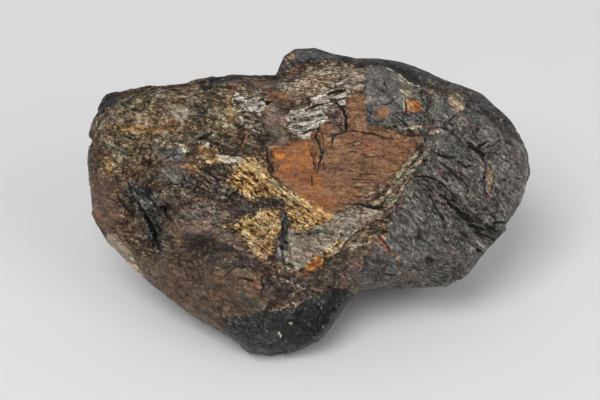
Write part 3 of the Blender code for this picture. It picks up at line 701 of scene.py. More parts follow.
# Strays: how long a roll is, its seed, and how far it moves a place. Edges of patches have rolls in
# millimetres that move them by steps; for lines both are in steps, and for chips both are in millimetres
EDGE_STRAYS = ((1.4, 310, 1.2), (4.5, 300, 3.2))
LINE_STRAYS = ((8.0, 320, 1.2), (3.0, 325, 0.9))
CHIP_STRAYS = ((6.0, 330, 0.8), (2.4, 340, 0.3))

# Lengths of rays in millimetres: from a foot to the nearest face at least, and at most; and the least
# outward part of a ray's way
LEAST_GAP, LONGEST_RAY, LEAST_OUTWARD = 0.3, 60.0, 0.3
# The larger they are, the boxier the rounded body is, in front and behind
FRONT_FULLNESS, BACK_FULLNESS = 2.8, 3.2
# Each round reads the rolls where the last one put the surface
SETTLING_ROUNDS = 2
# A number that sets the faces' rolls apart, a third of a turn, and how much more the unseen faces roll
ROLL_MIX, THIRD_OF_TURN, BACK_ROLL = 2.1, 2.094, 1.2
# How far ripples and waves move a hollow's rim, in millimetres, and how much of that a ledge's lip has
RIM_RIPPLE, RIM_WAVE, LIP_STRAY = 2.5, 2.0, 1.5
# The power that rounds a hollow's bowl
BOWL_POWER = 1.5
# How far behind the heart ledges start and are full, and how long their slopes are, in millimetres
LEDGE_START, LEDGE_FULL, LEDGE_SLOPE = 4.8, 16.8, 4.0

# Chips: their points repeat after a number of cells, and lie in the middle part of each cell; then the
# facets' tilt, and the length in millimetres of the slope where two meet
CHANCE_CELLS, POINT_INSET, POINT_SPREAD = 32, 0.2, 0.6
CHIP_TILT, CHIP_SLOPE = 1.6, 0.45
# Further off than any chip's point, in cells, and than any line matters, in its half widths
FAR_OFF = 9.0
# Layers: the height, length and width of their roll and the length of a lip, all in layers; then the share
# of a layer that its rise takes, the noise where a lip starts and is full, and how deep layers are sunk
LAYER_ROLL, ROLL_LENGTH, ROLL_WIDTH, LIP_LENGTH = 1.3, 6, 4, 4.5
LIP_SHARE, LIP_NOISE, LAYER_LEVEL = 0.2, (-0.3, 0.4), 0.3

# How squarely a surface faces the map where markings, cut lines and full roughness start and are whole
MARKING_SIGHT, LINE_SIGHT, ROUGH_SIGHT = (-0.35, -0.05), (0.0, 0.25), (0.05, 0.5)
# The softness in steps from which a patch's edge strays in full; a streak's share of that, and its softness
FULL_STRAY_SOFTNESS, STREAK_STRAY, STREAK_EDGE = 3, 0.5, 0.8
# Noise never reaches 2, so these minerals have no patches by chance
NO_STRAY_PATCH = (20.0, 2.0, 3.0)
# Tapers: the share of a line's length at each end that keeps one width, and the power that thins the rest
STREAK_TAPER, CRACK_TAPER, FOLD_TAPER, RIDGE_TAPER = (0.1, 0.5), (0.04, 0.45), (0.0, 0.5), (0.06, 0.35)
# A crack's shoulder and its line's reach in steps, the least strength of its line, and what a millimetre of
# depth adds; the lines of cracks under SHALLOW_CRACK deep have gaps, where noise of GAP_WAVE steps is low
CRACK_SHOULDER, LINE_REACH, LEAST_LINE, LINE_GAIN, SHALLOW_CRACK = 0.9, 1.6, 0.65, 0.5, 0.7
GAP_WAVE, GAP_NOISE = 4.5, (-0.65, -0.1)
# A raised edge's slopes in steps, its strands' size and how much longer than wide they are, its even and
# uneven parts of the height, and the gaps between strands that are painted dark as shade
BANK_INNER, BANK_OUTER = 1, 1.5
STRAND_SIZE, STRAND_LENGTH, EVEN_BANK, UNEVEN_BANK, STRAND_GAP = 1.3, 3.2, 0.6, 0.9, (0.02, 0.14)
# Hairlines between chips: their width in millimetres, and the height of chip that has them
HAIRLINE_GAP, HAIRLINE_RISE = (0.05, 0.4), (0.1, 0.5)
# The least share of a mineral that has relief, what worn faces lose of it, and what steep faces keep of it
LEAST_SHARE, WORN_AWAY, LEAST_ROUGH = 0.01, 0.85, 0.55
# Rounds of smoothing for the way the surface faces, and to find what is close and wide of the mean surface
FACING_ROUNDS, CLOSE_ROUNDS, WIDE_ROUNDS = 4, 3, 24
# Height above the floor, in millimetres, over which the relief and its shade set in
OFF_FLOOR = (0.02, 3.0)
# Depth below the mean surface, or height above it, in millimetres, that starts and fills a hollow or an
# edge, and the share it counts for; first close, then wide. Hollows get painted shade and edges a painted
# highlight by these shares
HOLLOW_DEPTHS = ((0.0, 0.16, 0.6), (0.1, 0.9, 0.4))
EDGE_HEIGHTS = ((0.02, 0.16, 0.7), (0.2, 0.9, 0.3))
# Hairlines are painted dark as shade where they lie as deep as this; then how dark they and the gaps
# between strands are painted
HAIRLINE_DEPTH, HAIRLINE_STRENGTH, STRAND_GAP_STRENGTH = (-0.02, 0.06), 0.7, 0.9


def settled_random(cells, seed):
    """A settled random number from 0 to 1 for each whole-numbered place.

    The place and the seed are each multiplied by a large odd number and added; then the sum is twice shifted,
    laid over itself and multiplied again, all within 32 bits.
    """
    x, y, z = (cells[..., axis].astype(np.int64) for axis in range(3))
    mixed = (x * 374761393 + y * 668265263 + z * 2147483647 + seed * 1274126177) & 0xFFFFFFFF
    mixed = ((mixed ^ (mixed >> 13)) * 1274126177) & 0xFFFFFFFF
    mixed = ((mixed ^ (mixed >> 16)) * 2246822519) & 0xFFFFFFFF
    return ((mixed ^ (mixed >> 15)) & 0xFFFFFF) / 0xFFFFFF


def smooth_noise(places, seed):
    """Noise from -1 to 1 that rolls about once for each unit of length."""
    cell = np.floor(places)
    part = places - cell
    part = part**3 * (part * (part * 6 - 15) + 10)
    total = 0
    for corner in np.ndindex(2, 2, 2):
        weight = np.prod(np.where(corner, part, 1 - part), axis=-1)
        total = total + weight * settled_random(cell + corner, seed)
    return total * 2 - 1


def wandering(places, wave, seed):
    """Three rolls of noise at once, to set places off by."""
    return np.stack([smooth_noise(places / wave + AXIS_SHIFT * i, seed + i) for i in range(3)], -1)


def strayed(spots, places, strays):
    """Spots moved by rolls of noise at places, one roll after another."""
    for wave, seed, reach in strays:
        spots = spots + reach * wandering(places, wave, seed)[:, : spots.shape[1]]
    return spots


def ramp(values, low, high):
    """From 0 at low to 1 at high, eased at both ends."""
    share = np.clip((values - low) / (high - low), 0, 1)
    return share * share * (3 - 2 * share)


def turned(right, up, slope):
    """A place or way on the broad face, measured along a slope in degrees and square to it."""
    cosine, sine = math.cos(math.radians(slope)), math.sin(math.radians(slope))
    return right * cosine + up * sine, up * cosine - right * sine


def outline_reach(angle):
    """How far the outline is from the heart at an angle, on a straight line from corner to corner."""
    right, up = np.array(OUTLINE).T
    turn = np.arctan2(up, right)
    order = np.argsort(turn)
    turn, far = turn[order], np.hypot(right, up)[order]
    turn = np.concatenate([turn[-1:] - 2 * math.pi, turn, turn[:1] + 2 * math.pi])
    far = np.concatenate([far[-1:], far, far[:1]])
    after = np.clip(np.searchsorted(turn, angle), 1, len(turn) - 1)
    a, b = turn[after - 1], turn[after]
    return np.sin(b - a) / (np.sin(b - angle) / far[after - 1] + np.sin(angle - a) / far[after])


def rounded_body(ways):
    """One over each ray's length to a rounded body: shares of the outline's reach and of the depth, each to a
    power, added, and the root taken.
    """
    spread = np.hypot(ways[:, 0], ways[:, 1])
    far = outline_reach(np.arctan2(ways[:, 1], ways[:, 0]))
    in_front = ways[:, 2] > 0
    depth = np.where(in_front, FRONT_DEPTH, BACK_DEPTH)
    power = np.where(in_front, FRONT_FULLNESS, BACK_FULLNESS)
    across = spread / np.maximum(far - RAY_FEET[0] * spread, 1)
    through = np.abs(ways[:, 2]) / (depth - RAY_FEET[2] * np.abs(ways[:, 2]))
    return (across**power + through**power) ** (1 / power)


def closeness(feet, ways, face, wave):
    """One over the length of each ray to a fracture face, to a high power; nought where it's never met."""
    toward = np.array(face[0]) / np.linalg.norm(face[0])
    gap = np.maximum(toward @ np.array(face[1]) + wave - feet @ toward, LEAST_GAP)
    return (np.maximum(ways @ toward, 0) / gap) ** CRISPNESS


def own_roll(face, waves, ripples):
    """How far a face rolls in and out: the three waves and ripples, each times the sine of a number of the
    face's own; the three sines are a third of a turn apart.
    """
    own = ROLL_MIX * (sum(face[1]) + 3 * sum(face[0]))
    mix = [math.sin(own + THIRD_OF_TURN * i) for i in range(3)]
    return sum(m * (BROAD_HEIGHT * w + SHORT_HEIGHT * r) for m, w, r in zip(mix, waves, ripples))


def hollows_and_ledges(places, ways, wander):
    """How much each hollow and then each ledge shortens each ray.

    A hollow is a bowl, 1 - across across - along along, to a power. A ledge sets back what is past its line.
    """
    for middle, half_width, half_length, slope, deep in HOLLOWS:
        gap = places - middle + wander
        across, along = turned(gap[:, 0], gap[:, 1], slope)
        bowl = np.maximum(1 - (across / half_width) ** 2 - (along / half_length) ** 2, 0) ** BOWL_POWER
        yield deep * bowl * (places[:, 2] > 0) / np.maximum(ways[:, 2], LEAST_OUTWARD)
    behind = np.clip((-places[:, 2] - LEDGE_START) / (LEDGE_FULL - LEDGE_START), 0, 1)
    for way, far_along, set_back in LEDGES:
        past = places @ np.array(way) + LIP_STRAY * wander[:, 0] - far_along
        yield set_back * behind * ramp(past, 0, LEDGE_SLOPE)


def stone_surface(ways):
    """Places on the stone, square on to its face, for rays that fan out from the small inner shape.

    A chunk is ended by the nearest of its faces, with rounded edges; the stone is the furthest of its chunks.
    """

    def met(faces, share=1.0):
        return sum(closeness(feet, ways, face, share * own_roll(face, waves, ripples)) for face in faces)

    feet = ways * RAY_FEET + (0, 0, WAIST_OUT)
    body = rounded_body(ways)
    length = np.minimum(1 / body, LONGEST_RAY)
    for _ in range(SETTLING_ROUNDS):
        places = feet + ways * length[:, None]
        waves = [smooth_noise(places / BROAD_WAVE + WAVE_SHIFT * i, WAVE_SEED + i) for i in range(3)]
        ripples = [smooth_noise(places / SHORT_WAVE + RIPPLE_SHIFT * i, RIPPLE_SEED + i) for i in range(3)]
        common = body**CRISPNESS + met(BACK_FACES, BACK_ROLL)
        length = np.min([common + met(faces) for faces in CHUNKS.values()], axis=0) ** (-1 / CRISPNESS)
    places = feet + ways * length[:, None]
    wander = RIM_RIPPLE * np.stack(ripples, -1) + RIM_WAVE * np.stack(waves, -1)
    for shorter in hollows_and_ledges(places, ways, wander):
        length = length - shorter
    down = -face_axes()[:, 2]
    to_rest = (HEART[2] - feet @ down) / np.maximum(ways @ down, 1e-6)
    return feet + ways * np.minimum(length, to_rest)[:, None]


def face_axes():
    """The broad face's own ways right, up and out, one to a row, on the level."""
    sine, cosine = math.sin(FACE_LEAN), math.cos(FACE_LEAN)
    return np.array(((1, 0, 0), (0, sine, cosine), (0, -cosine, sine)))


def stand_up(places):
    """Turns places square on to the broad face into places on the level, still in millimetres."""
    return places @ face_axes() + HEART


def disc_from_square(across, up):
    """Spreads a square evenly over a disc: (u, v) goes to (u sqrt(1 - v v / 2), v sqrt(1 - u u / 2))."""
    return across * np.sqrt(1 - up**2 / 2), up * np.sqrt(1 - across**2 / 2)


def fan_of_rays(x, y, spread, front):
    """Ways of rays whose sine of spread grows with the distance from the disc's middle; front is 1 or -1."""
    sine = np.hypot(x, y) * spread
    angle = np.arctan2(HALF_HEIGHT * y, HALF_LENGTH * x)
    return np.stack([sine * np.cos(angle), sine * np.sin(angle), front * np.sqrt(1 - sine**2)], -1)


def rim_of(numbers):
    """The corners round a sheet's edge, anticlockwise as seen from the front."""
    return np.concatenate([numbers[:-1, 0], numbers[-1, :-1], numbers[:0:-1, -1], numbers[0, :0:-1]])


def sheet_faces(numbers):
    """The four-cornered faces of a sheet, anticlockwise as seen from the front."""
    corners = [numbers[:-1, :-1], numbers[1:, :-1], numbers[1:, 1:], numbers[:-1, 1:]]
    return np.stack(corners, -1).reshape(-1, 4)


def closed_net():
    """Rays and faces of one closed net: a fine front sheet, rows round the waist, and a coarser back sheet.

    Every second corner of the front sheet's rim has a ray in the first row, and fans of three-cornered faces
    close the step between them.
    """
    u, v = np.meshgrid(np.linspace(-1, 1, NET_ACROSS + 1), np.linspace(-1, 1, NET_UP + 1), indexing="ij")
    x, y = disc_from_square(u, v)
    front = fan_of_rays(x, y, FRONT_SPREAD, 1)
    front_numbers = np.arange(u.size).reshape(u.shape)
    rim_x, rim_y = rim_of(x)[::2], rim_of(y)[::2]
    angle = np.arctan2(HALF_HEIGHT * rim_y, HALF_LENGTH * rim_x)
    start, end = math.asin(FRONT_SPREAD), math.pi - math.asin(BACK_SPREAD)
    tilt = np.linspace(start, end, NET_ROWS + 1)[1:-1, None]
    sine, out = np.sin(tilt) + 0 * angle, np.cos(tilt) + 0 * angle
    rows = np.stack([sine * np.cos(angle), sine * np.sin(angle), out], -1)
    row_numbers = u.size + np.arange(rows.shape[0] * rows.shape[1]).reshape(rows.shape[:2])
    back = fan_of_rays(x[::2, ::2], y[::2, ::2], BACK_SPREAD, -1)
    back_numbers = row_numbers[-1, -1] + 1 + np.arange(back[..., 0].size).reshape(back.shape[:2])
    ways = np.concatenate([front.reshape(-1, 3), rows.reshape(-1, 3), back.reshape(-1, 3)])
    rings = np.concatenate([row_numbers, rim_of(back_numbers)[None]])
    after = np.roll(rings, -1, axis=1)
    waist = np.stack([rings[:-1], rings[1:], after[1:], after[:-1]], -1).reshape(-1, 4)
    quads = np.concatenate([sheet_faces(front_numbers), waist, sheet_faces(back_numbers)[:, ::-1]])
    rim = rim_of(front_numbers)
    first, middle, last = rim[::2], rim[1::2], np.roll(rim[::2], -1)
    fans = [(first, rings[0], middle), (middle, rings[0], after[0]), (middle, after[0], last)]
    threes = np.concatenate([np.stack(corners, -1) for corners in fans])
    return ways, quads, threes


def face_ways(places, quads, threes):
    """The way the surface faces at each corner: the sum, over its faces, of two sides' cross product."""
    total = np.zeros_like(places)
    for faces in (quads, threes):
        a, b, c = (places[faces[:, i]] for i in (0, 1, 2))
        last = places[faces[:, -1]]
        cross = np.cross(c - a, last - b) if faces.shape[1] == 4 else np.cross(b - a, c - a)
        for column in faces.T:
            for axis in range(3):
                total[:, axis] += np.bincount(column, cross[:, axis], len(places))
    return total / np.maximum(np.linalg.norm(total, axis=1), 1e-12)[:, None]


def smoothed(values, quads, threes, rounds):
    """Each corner's value replaced, again and again, by the mean of its own and its neighbours' mean."""
    pairs = []
    for faces in (quads, threes):
        for column, after in zip(faces.T, np.roll(faces, -1, axis=1).T):
            pairs.append(np.stack([column, after], -1))
    ends = np.concatenate(pairs)
    count = np.maximum(np.bincount(ends[:, 0], minlength=len(values)), 1)
    for _ in range(rounds):
        sums = [np.bincount(ends[:, 0], column[ends[:, 1]], len(values)) for column in values.T]
        values = (values + np.stack(sums, -1) / count[:, None]) / 2
    return values


def on_the_map(places):
    """Places as the camera sees them, in steps right and up: the seen size grows with nearness."""
    near = CAMERA_DISTANCE / (CAMERA_DISTANCE + AIM[2] - places[:, 2])
    return np.stack([(places[:, 0] - AIM[0]) * near + AIM[0], places[:, 1] * near], -1) / MAP_STEP


def with_no_depth(spots):
    """Spots on the map as places, so that noise can be taken there."""
    return np.concatenate([spots, np.zeros((len(spots), 1))], axis=1)


def near_line(spots, course):
    """How far each spot is from a course of straight runs, less than nought on its right; how far along the
    course it is, and how long the course is.
    """
    course = np.array(course, float)
    runs = np.diff(course, axis=0)
    lengths = np.hypot(*runs.T)
    before = np.concatenate([[0], np.cumsum(lengths)])
    nearest, passed, side = np.full(len(spots), np.inf), np.zeros(len(spots)), np.ones(len(spots))
    for start, run, length, first in zip(course, runs, lengths, before):
        off = spots - start
        along = np.clip(off @ run / length**2, 0, 1)
        gap = np.hypot(*(off - along[:, None] * run).T)
        closer = gap < nearest
        passed = np.where(closer, first + along * length, passed)
        side = np.where(closer, np.where(run[0] * off[:, 1] > run[1] * off[:, 0], 1, -1), side)
        nearest = np.minimum(nearest, gap)
    return nearest * side, passed, before[-1]


def tapered(along, length, inset, power):
    """How wide a line is, up to 1: the sine of how far along it a spot is, as half a turn, to a power."""
    return np.sin(math.pi * np.clip(along / length, inset, 1 - inset)) ** power


def depth_inside(spots, corners):
    """How far each spot is inside a patch with these corners; less than nought is outside it."""
    corners = np.array(corners, float)
    inside = np.zeros(len(spots), bool)
    for (x0, y0), (x1, y1) in zip(corners, np.roll(corners, -1, axis=0)):
        crosses = (y0 > spots[:, 1]) != (y1 > spots[:, 1])
        inside ^= crosses & (spots[:, 0] < x0 + (spots[:, 1] - y0) * (x1 - x0) / ((y1 - y0) or 1))
    gap = np.abs(near_line(spots, np.concatenate([corners, corners[:1]]))[0])
    return np.where(inside, gap, -gap)


def chips(places, size, seed, slope=0.0, longer=1.0):
    """Angular relief: each place takes the flat facet of the nearest of a set of scattered points.

    The points are one to a cell of an even lattice, set off at random, and a facet has its own height and
    tilt. Two facets meet in a short slope. Returns the height and the gap to the next facet, in cells.
    """
    along, across = turned(places[:, 0], places[:, 1], slope)
    spots = np.stack([along / longer, across, places[:, 2]], -1) / size
    lowest = np.floor(spots - 0.5).astype(int)
    lots = np.random.default_rng(seed).random((CHANCE_CELLS, CHANCE_CELLS, CHANCE_CELLS, 7))
    nearest, second = np.full(len(spots), FAR_OFF), np.full(len(spots), FAR_OFF)
    height, other = np.zeros(len(spots)), np.zeros(len(spots))
    for corner in np.ndindex(2, 2, 2):
        cell = lowest + corner
        lot = lots[tuple((cell % CHANCE_CELLS).T)]
        gap = spots - cell - POINT_INSET - POINT_SPREAD * lot[:, :3]
        far = np.linalg.norm(gap, axis=1)
        own = lot[:, 3] - 0.5 + CHIP_TILT * np.sum(gap * (lot[:, 4:] - 0.5), axis=1)
        closer, next_one = far < nearest, (far >= nearest) & (far < second)
        other = np.where(closer, height, np.where(next_one, own, other))
        second = np.where(closer, nearest, np.where(next_one, far, second))
        height = np.where(closer, own, height)
        nearest = np.where(closer, far, nearest)
    meeting = 0.5 - 0.5 * ramp(second - nearest, 0, CHIP_SLOPE / size)
    return height + (other - height) * meeting, second - nearest


def shingles(along, across, size, seed):
    """Broken layers that lie on one another like shingles: height from 0 to 1.

    A layer's number is the whole part of the place across the grain, in layers, plus a slow roll. Each layer
    rises at once at its lip and then sinks slowly, and each lip comes and goes along its length.
    """
    roll_spots = np.stack([along / (ROLL_LENGTH * size), across / (ROLL_WIDTH * size)], -1)
    level = across / size + LAYER_ROLL * smooth_noise(with_no_depth(roll_spots), seed)
    number = np.floor(level)
    part = level - number
    lip_spots = np.stack([along / (LIP_LENGTH * size), LAYER_SHIFT * number], -1)
    lip = ramp(smooth_noise(with_no_depth(lip_spots), seed + 1), *LIP_NOISE)
    return lip * np.minimum(part / LIP_SHARE, (1 - part) / (1 - LIP_SHARE))


def mineral_shares(places, spots, facing):
    """How much of each mineral is at each corner: patches on the map and, out of its sight, noise."""
    stray = strayed(0 * spots, with_no_depth(spots * MAP_STEP), EDGE_STRAYS)
    seen = ramp(facing, *MARKING_SIGHT)
    shares = {}
    for number, (name, patches) in enumerate(PATCHES.items()):
        share = np.zeros(len(spots))
        for corners, soft, strength in patches:
            inside = depth_inside(spots + min(soft / FULL_STRAY_SOFTNESS, 1) * stray, corners)
            share = np.maximum(share, strength * ramp(inside, -soft, soft))
        for course, half_width, strength in STREAKS.get(name, ()):
            gap, along, length = near_line(spots + STREAK_STRAY * stray, course)
            past_edge = np.abs(gap) - half_width * tapered(along, length, *STREAK_TAPER)
            share = np.maximum(share, strength * (1 - ramp(past_edge, -STREAK_EDGE, STREAK_EDGE)))
        size, least, most = STRAY_PATCHES.get(name, NO_STRAY_PATCH)
        by_chance = ramp(smooth_noise(places / size + STRAY_SHIFT * number, STRAY_SEED + number), least, most)
        shares[name] = share * seen + by_chance * (1 - seen)
    worn = np.zeros(len(spots))
    for corners, soft, strength in SMOOTH_FACES:
        worn = np.maximum(worn, strength * ramp(depth_inside(spots + stray, corners), -soft, soft))
    shares["smooth"] = worn * seen
    return shares


def cut_and_raised(spots):
    """Height in millimetres of cracks, folds and raised edges, and values that draw thin black lines of
    painted shade.

    A crack is a groove with straight sides, thinner towards its ends. A fold is a bell-shaped groove. A
    raised edge is a low bank of strands that lie along it, each broken across. The side runs from -1 to 1
    across the nearest crack, and the nearness fades out beyond it; the gaps between strands are painted
    dark too. These dark lines are painted shade.
    """
    flat = with_no_depth(spots)
    shaken = strayed(spots, flat, LINE_STRAYS)
    broken = ramp(smooth_noise(flat / GAP_WAVE, GAP_SEED), *GAP_NOISE)
    height, nearness, gaps = (np.zeros(len(spots)) for _ in range(3))
    side = np.full(len(spots), FAR_OFF)
    for course, half_width, deep in CRACKS:
        gap, along, length = near_line(shaken, course)
        width = half_width * tapered(along, length, *CRACK_TAPER)
        nearer = np.abs(gap / width) < np.abs(side)
        side = np.where(nearer, gap / width, side)
        reach = LINE_REACH + half_width
        near = min(LEAST_LINE + LINE_GAIN * deep, 1) * (1 - ramp(np.abs(gap), reach, reach + 1))
        nearness = np.where(nearer, near * broken if deep < SHALLOW_CRACK else near, nearness)
        height = np.minimum(height, -deep * np.maximum(1 - np.abs(gap) / (CRACK_SHOULDER + width), 0))
    for course, half_width, deep in FOLDS:
        gap, along, length = near_line(shaken, course)
        height = height - deep * tapered(along, length, *FOLD_TAPER) * np.exp(-((gap / half_width) ** 2))
    for number, (course, half_width, tall) in enumerate(RIDGES):
        gap, along, length = near_line(shaken, course)
        past_edge = np.abs(gap) - half_width * tapered(along, length, *RIDGE_TAPER)
        bank = 1 - ramp(past_edge, -BANK_INNER, BANK_OUTER)
        strands = with_no_depth(np.stack([along, gap], -1)) * MAP_STEP
        rise, apart = chips(strands, STRAND_SIZE, STRAND_SEED + number, longer=STRAND_LENGTH)
        height = height + bank * tall * (EVEN_BANK + UNEVEN_BANK * rise)
        gaps = np.maximum(gaps, bank * (1 - ramp(apart, *STRAND_GAP)))
    return height, side, nearness, gaps


def broken_relief(places, shares, facing):
    """Height in millimetres of each mineral's chips and layers, and how near each corner is to a hairline."""
    moved = strayed(places, places, CHIP_STRAYS)
    height, hairline = np.zeros(len(places)), np.zeros(len(places))
    left_over = np.ones(len(places))
    for number, (name, grain) in enumerate(reversed(GRAINS.items())):
        slope, longer, sizes, steep, thickness, tall = grain
        share = shares.get(name, np.ones(len(places))) * left_over
        left_over = left_over - share
        here = share > LEAST_SHARE
        for size in sizes:
            rise, gap = chips(moved[here], size, CHIP_SEED + 10 * number + int(size), slope, longer)
            height[here] += share[here] * steep * size * rise
            close = (1 - ramp(gap * size, *HAIRLINE_GAP)) * ramp(np.abs(rise), *HAIRLINE_RISE)
            hairline[here] += share[here] * close
        layers = shingles(*turned(moved[here, 0], moved[here, 1], slope), thickness, LAYER_SEED + 10 * number)
        height[here] += share[here] * tall * (layers - LAYER_LEVEL)
    worn = 1 - WORN_AWAY * shares["smooth"]
    rough = worn * (LEAST_ROUGH + (1 - LEAST_ROUGH) * ramp(np.abs(facing), *ROUGH_SIGHT))
    return height * rough, np.clip(hairline, 0, 1) * rough


def weighed(depths, steps):
    """The sum of what some depths count for, each eased in from its low to its high."""
    return sum(part * ramp(depth, low, high) for depth, (low, high, part) in zip(depths, steps))


def dressed_net():
    """The closed net with its relief: places on the level, faces, and the values that the finish reads.

    The relief moves each corner of the plain stone along the way it faces. What lies below the smoothed net
    is a hollow, and what lies above it an edge; the finish paints shade into hollows and a highlight onto
    edges.
    """
    ways, quads, threes = closed_net()
    plain = stone_surface(ways)
    facing = face_ways(smoothed(plain, quads, threes, FACING_ROUNDS), quads, threes)
    spots = on_the_map(plain)
    shares = mineral_shares(plain, spots, facing[:, 2])
    lines, side, nearness, gaps = cut_and_raised(spots)
    seen = ramp(facing[:, 2], *LINE_SIGHT)
    chipped, hairline = broken_relief(plain, shares, facing[:, 2])
    off_floor = ramp(stand_up(plain)[:, 2], *OFF_FLOOR)
    height = (chipped + lines * seen) * off_floor
    places = plain + facing * height[:, None]
    after = face_ways(places, quads, threes)
    means = [smoothed(places, quads, threes, rounds) for rounds in (CLOSE_ROUNDS, WIDE_ROUNDS)]
    depths = [np.sum((mean - places) * after, axis=1) for mean in means]
    hairline = HAIRLINE_STRENGTH * hairline * ramp(depths[0], *HAIRLINE_DEPTH)
    shares["crack"] = np.maximum(hairline, STRAND_GAP_STRENGTH * gaps * seen)
    shares["line_side"] = np.clip(side, -FAR_OFF, FAR_OFF)
    shares["line_near"] = nearness * seen
    shares["hollow"] = weighed(depths, HOLLOW_DEPTHS) * off_floor
    shares["edge"] = weighed([-depth for depth in depths], EDGE_HEIGHTS) * off_floor
    standing = stand_up(places)
    standing[:, 2] = np.maximum(standing[:, 2], 0)
    return standing, quads, threes, shares


def placed(name, data):
    """A new object, put into the scene."""
    thing = bpy.data.objects.new(name, data)
    bpy.context.scene.collection.objects.link(thing)
    return thing


def make_stone():
    """The whole stone as one closed net, with relief in its shape and minerals as values on its corners."""
    places, quads, threes, shares = dressed_net()
    mesh = bpy.data.meshes.new("iron_ore_stone")
    mesh.from_pydata((places * MM).tolist(), [], quads.tolist() + threes.tolist())
    for name, share in shares.items():
        mesh.attributes.new(name, "FLOAT", "POINT").data.foreach_set("value", share.astype(np.float32))
    mesh.shade_smooth()
    mesh.materials.append(ore_finish())
    return placed("iron_ore_stone", mesh)

# Finishes: the deep, middle and light tones of each mineral as the eye sees them, then roughness and metal.
# The first is the rock that the others lie on, and each lies over the ones before it. Charcoal, umber and
# black are laid in places as painted shade too, and pale as painted glints
FINISHES = {
    "brown": ((32, 21, 13), (82, 60, 44), (140, 109, 80), 0.40, 0.0),
    "olive": ((43, 34, 22), (111, 89, 63), (181, 160, 120), 0.42, 0.0),
    "plum": ((36, 26, 22), (98, 79, 66), (158, 134, 116), 0.38, 0.1),
    "umber": ((20, 13, 11), (56, 42, 36), (106, 86, 76), 0.42, 0.0),
    "slate": ((34, 31, 29), (100, 95, 90), (156, 150, 142), 0.36, 0.15),
    "charcoal": ((14, 14, 14), (41, 40, 39), (86, 84, 82), 0.28, 0.1),
    "rust": ((62, 40, 26), (122, 84, 58), (170, 126, 90), 0.55, 0.0),
    "orange": ((78, 40, 17), (126, 74, 37), (180, 116, 62), 0.6, 0.0),
    "pewter": ((62, 55, 45), (142, 129, 110), (198, 187, 166), 0.36, 0.1),
    "silver": ((60, 53, 44), (164, 150, 131), (238, 230, 215), 0.30, 0.25),
    "tan": ((72, 56, 41), (156, 132, 104), (220, 201, 169), 0.42, 0.0),
    "gold": ((58, 32, 10), (184, 131, 66), (254, 220, 150), 0.32, 0.2),
    "amber": ((104, 50, 12), (190, 104, 34), (236, 162, 74), 0.55, 0.0),
    "ochre": ((74, 52, 26), (142, 104, 58), (198, 160, 102), 0.5, 0.0),
    "fibrous": ((4, 5, 4), (34, 34, 31), (134, 133, 122), 0.36, 0.1),
    "black": ((3, 3, 3), (13, 13, 13), (48, 47, 46), 0.40, 0.0),
    "pale": ((124, 104, 78), (220, 204, 170), (250, 242, 222), 0.5, 0.0),
    "red": ((70, 32, 24), (132, 66, 50), (184, 112, 88), 0.5, 0.0),
}
# Where on its ramp a mineral's tones lie; past the light one it goes half way to a glint, the colour of
# the painted highlights
DEEP_STOP, MIDDLE_STOP, LIGHT_STOP = 0.22, 0.50, 0.80
GLINT = (232, 226, 212)
# The colour of painted shade, laid into hollows and into the black lines of cracks, hairlines and gaps
PAINTED_SHADE = (14, 12, 11)
# Values on the net's corners beside the minerals' shares
CORNER_VALUES = ("smooth", "crack", "hollow", "edge", "line_side", "line_near")
# Chance flecks: their tone, size in millimetres, the noise they start and are full at, and their strength
FLECKS = (
    ((128, 74, 46), 1.6, 0.62, 0.70, 0.5),
    ((198, 176, 138), 1.1, 0.63, 0.68, 0.7),
    ((44, 32, 28), 1.8, 0.60, 0.68, 0.5),
)
# Faint changes of hue: the tint, its size in millimetres, and its strength
TINTS = (((96, 112, 94), 6.5, 0.34), ((130, 84, 62), 4.5, 0.26), ((104, 92, 106), 7.5, 0.16))

# Where the first tint and fleck are read, in millimetres from the facets' place, and the step to the next
TINT_START, TINT_STEP = (3.0, 0.0, 11.0), (13.0, 29.0, 0.0)
FLECK_START, FLECK_STEP = (7.0, 0.0, 5.0), (31.0, 17.0, 0.0)

# Patterns finer than the net, with their sizes in millimetres. Noise is size, detail and roughness; creases
# and hairlines are size and width
LARGE_FACET, SMALL_FACET, LEAST_FACET, THIN_LAYER = 2.6, 1.15, 0.72, 1.0
CLOUDS, GRIT, RAGGED = (5.0, 5.0, 0.65), (0.5, 3.0, 0.7), (1.8, 6.0, 0.78)
SOFT_FOLDS, DASHES, GRAIN_SHAKE = (1.9, 2.0, 0.5), (0.9, 2.0, 0.5), (2.2, 3.0, 0.6)
LONG_CREASES, SHORT_CREASES = (4.2, 0.026), (2.2, 0.032)
WIDE_HAIRLINES, THIN_HAIRLINES = (3.4, 0.20), (1.5, 0.13)
TINT_DETAIL, FLECK_DETAIL, CREASE_DETAIL, ROLL_DETAIL = (3.0, 0.6), (4.0, 0.7), (4.0, 0.62), (3.0, 0.55)
# Creases and folds are read at places squeezed by this along the grain, each shifted to places of its own
DRAWN_OUT = (0.36, 1.0, 1.0)
CREASE_SHIFT, DASH_SHIFT, FOLD_SHIFT = (50.0, 20.0, 10.0), (9.0, 4.0, 7.0), (5.0, 30.0, 2.0)
# How far places along the grain are shaken, in millimetres, and the steps between facets in facet sizes
SHAKE_REACH, FACET_STEP = 1.3, 0.25
# A thin layer's roll and the lengths of the roll and of a lip, in layers; a lip's noise, and its rise's share
THIN_ROLL, THIN_ROLL_LENGTH, THIN_LIP_LENGTH, THIN_LIP_NOISE, THIN_RISE = 5.0, 5, 2.5, (0.42, 0.58), 0.2

# What is left of the relief, or of one pattern, on worn faces, dark rock, matte rock and foil
WORN_BUSY, DARK_FINE, MATTE_BUSY, FOIL_LEAST = 0.3, 0.82, 0.75, 0.5
MATTE_LAYERS, MATTE_CREASES, MATTE_GLINTS = 0.5, 0.55, 0.2
WORN_TINTS, PLAIN_TINTS, PLAIN_FLECKS = 0.5, 0.15, 0.3
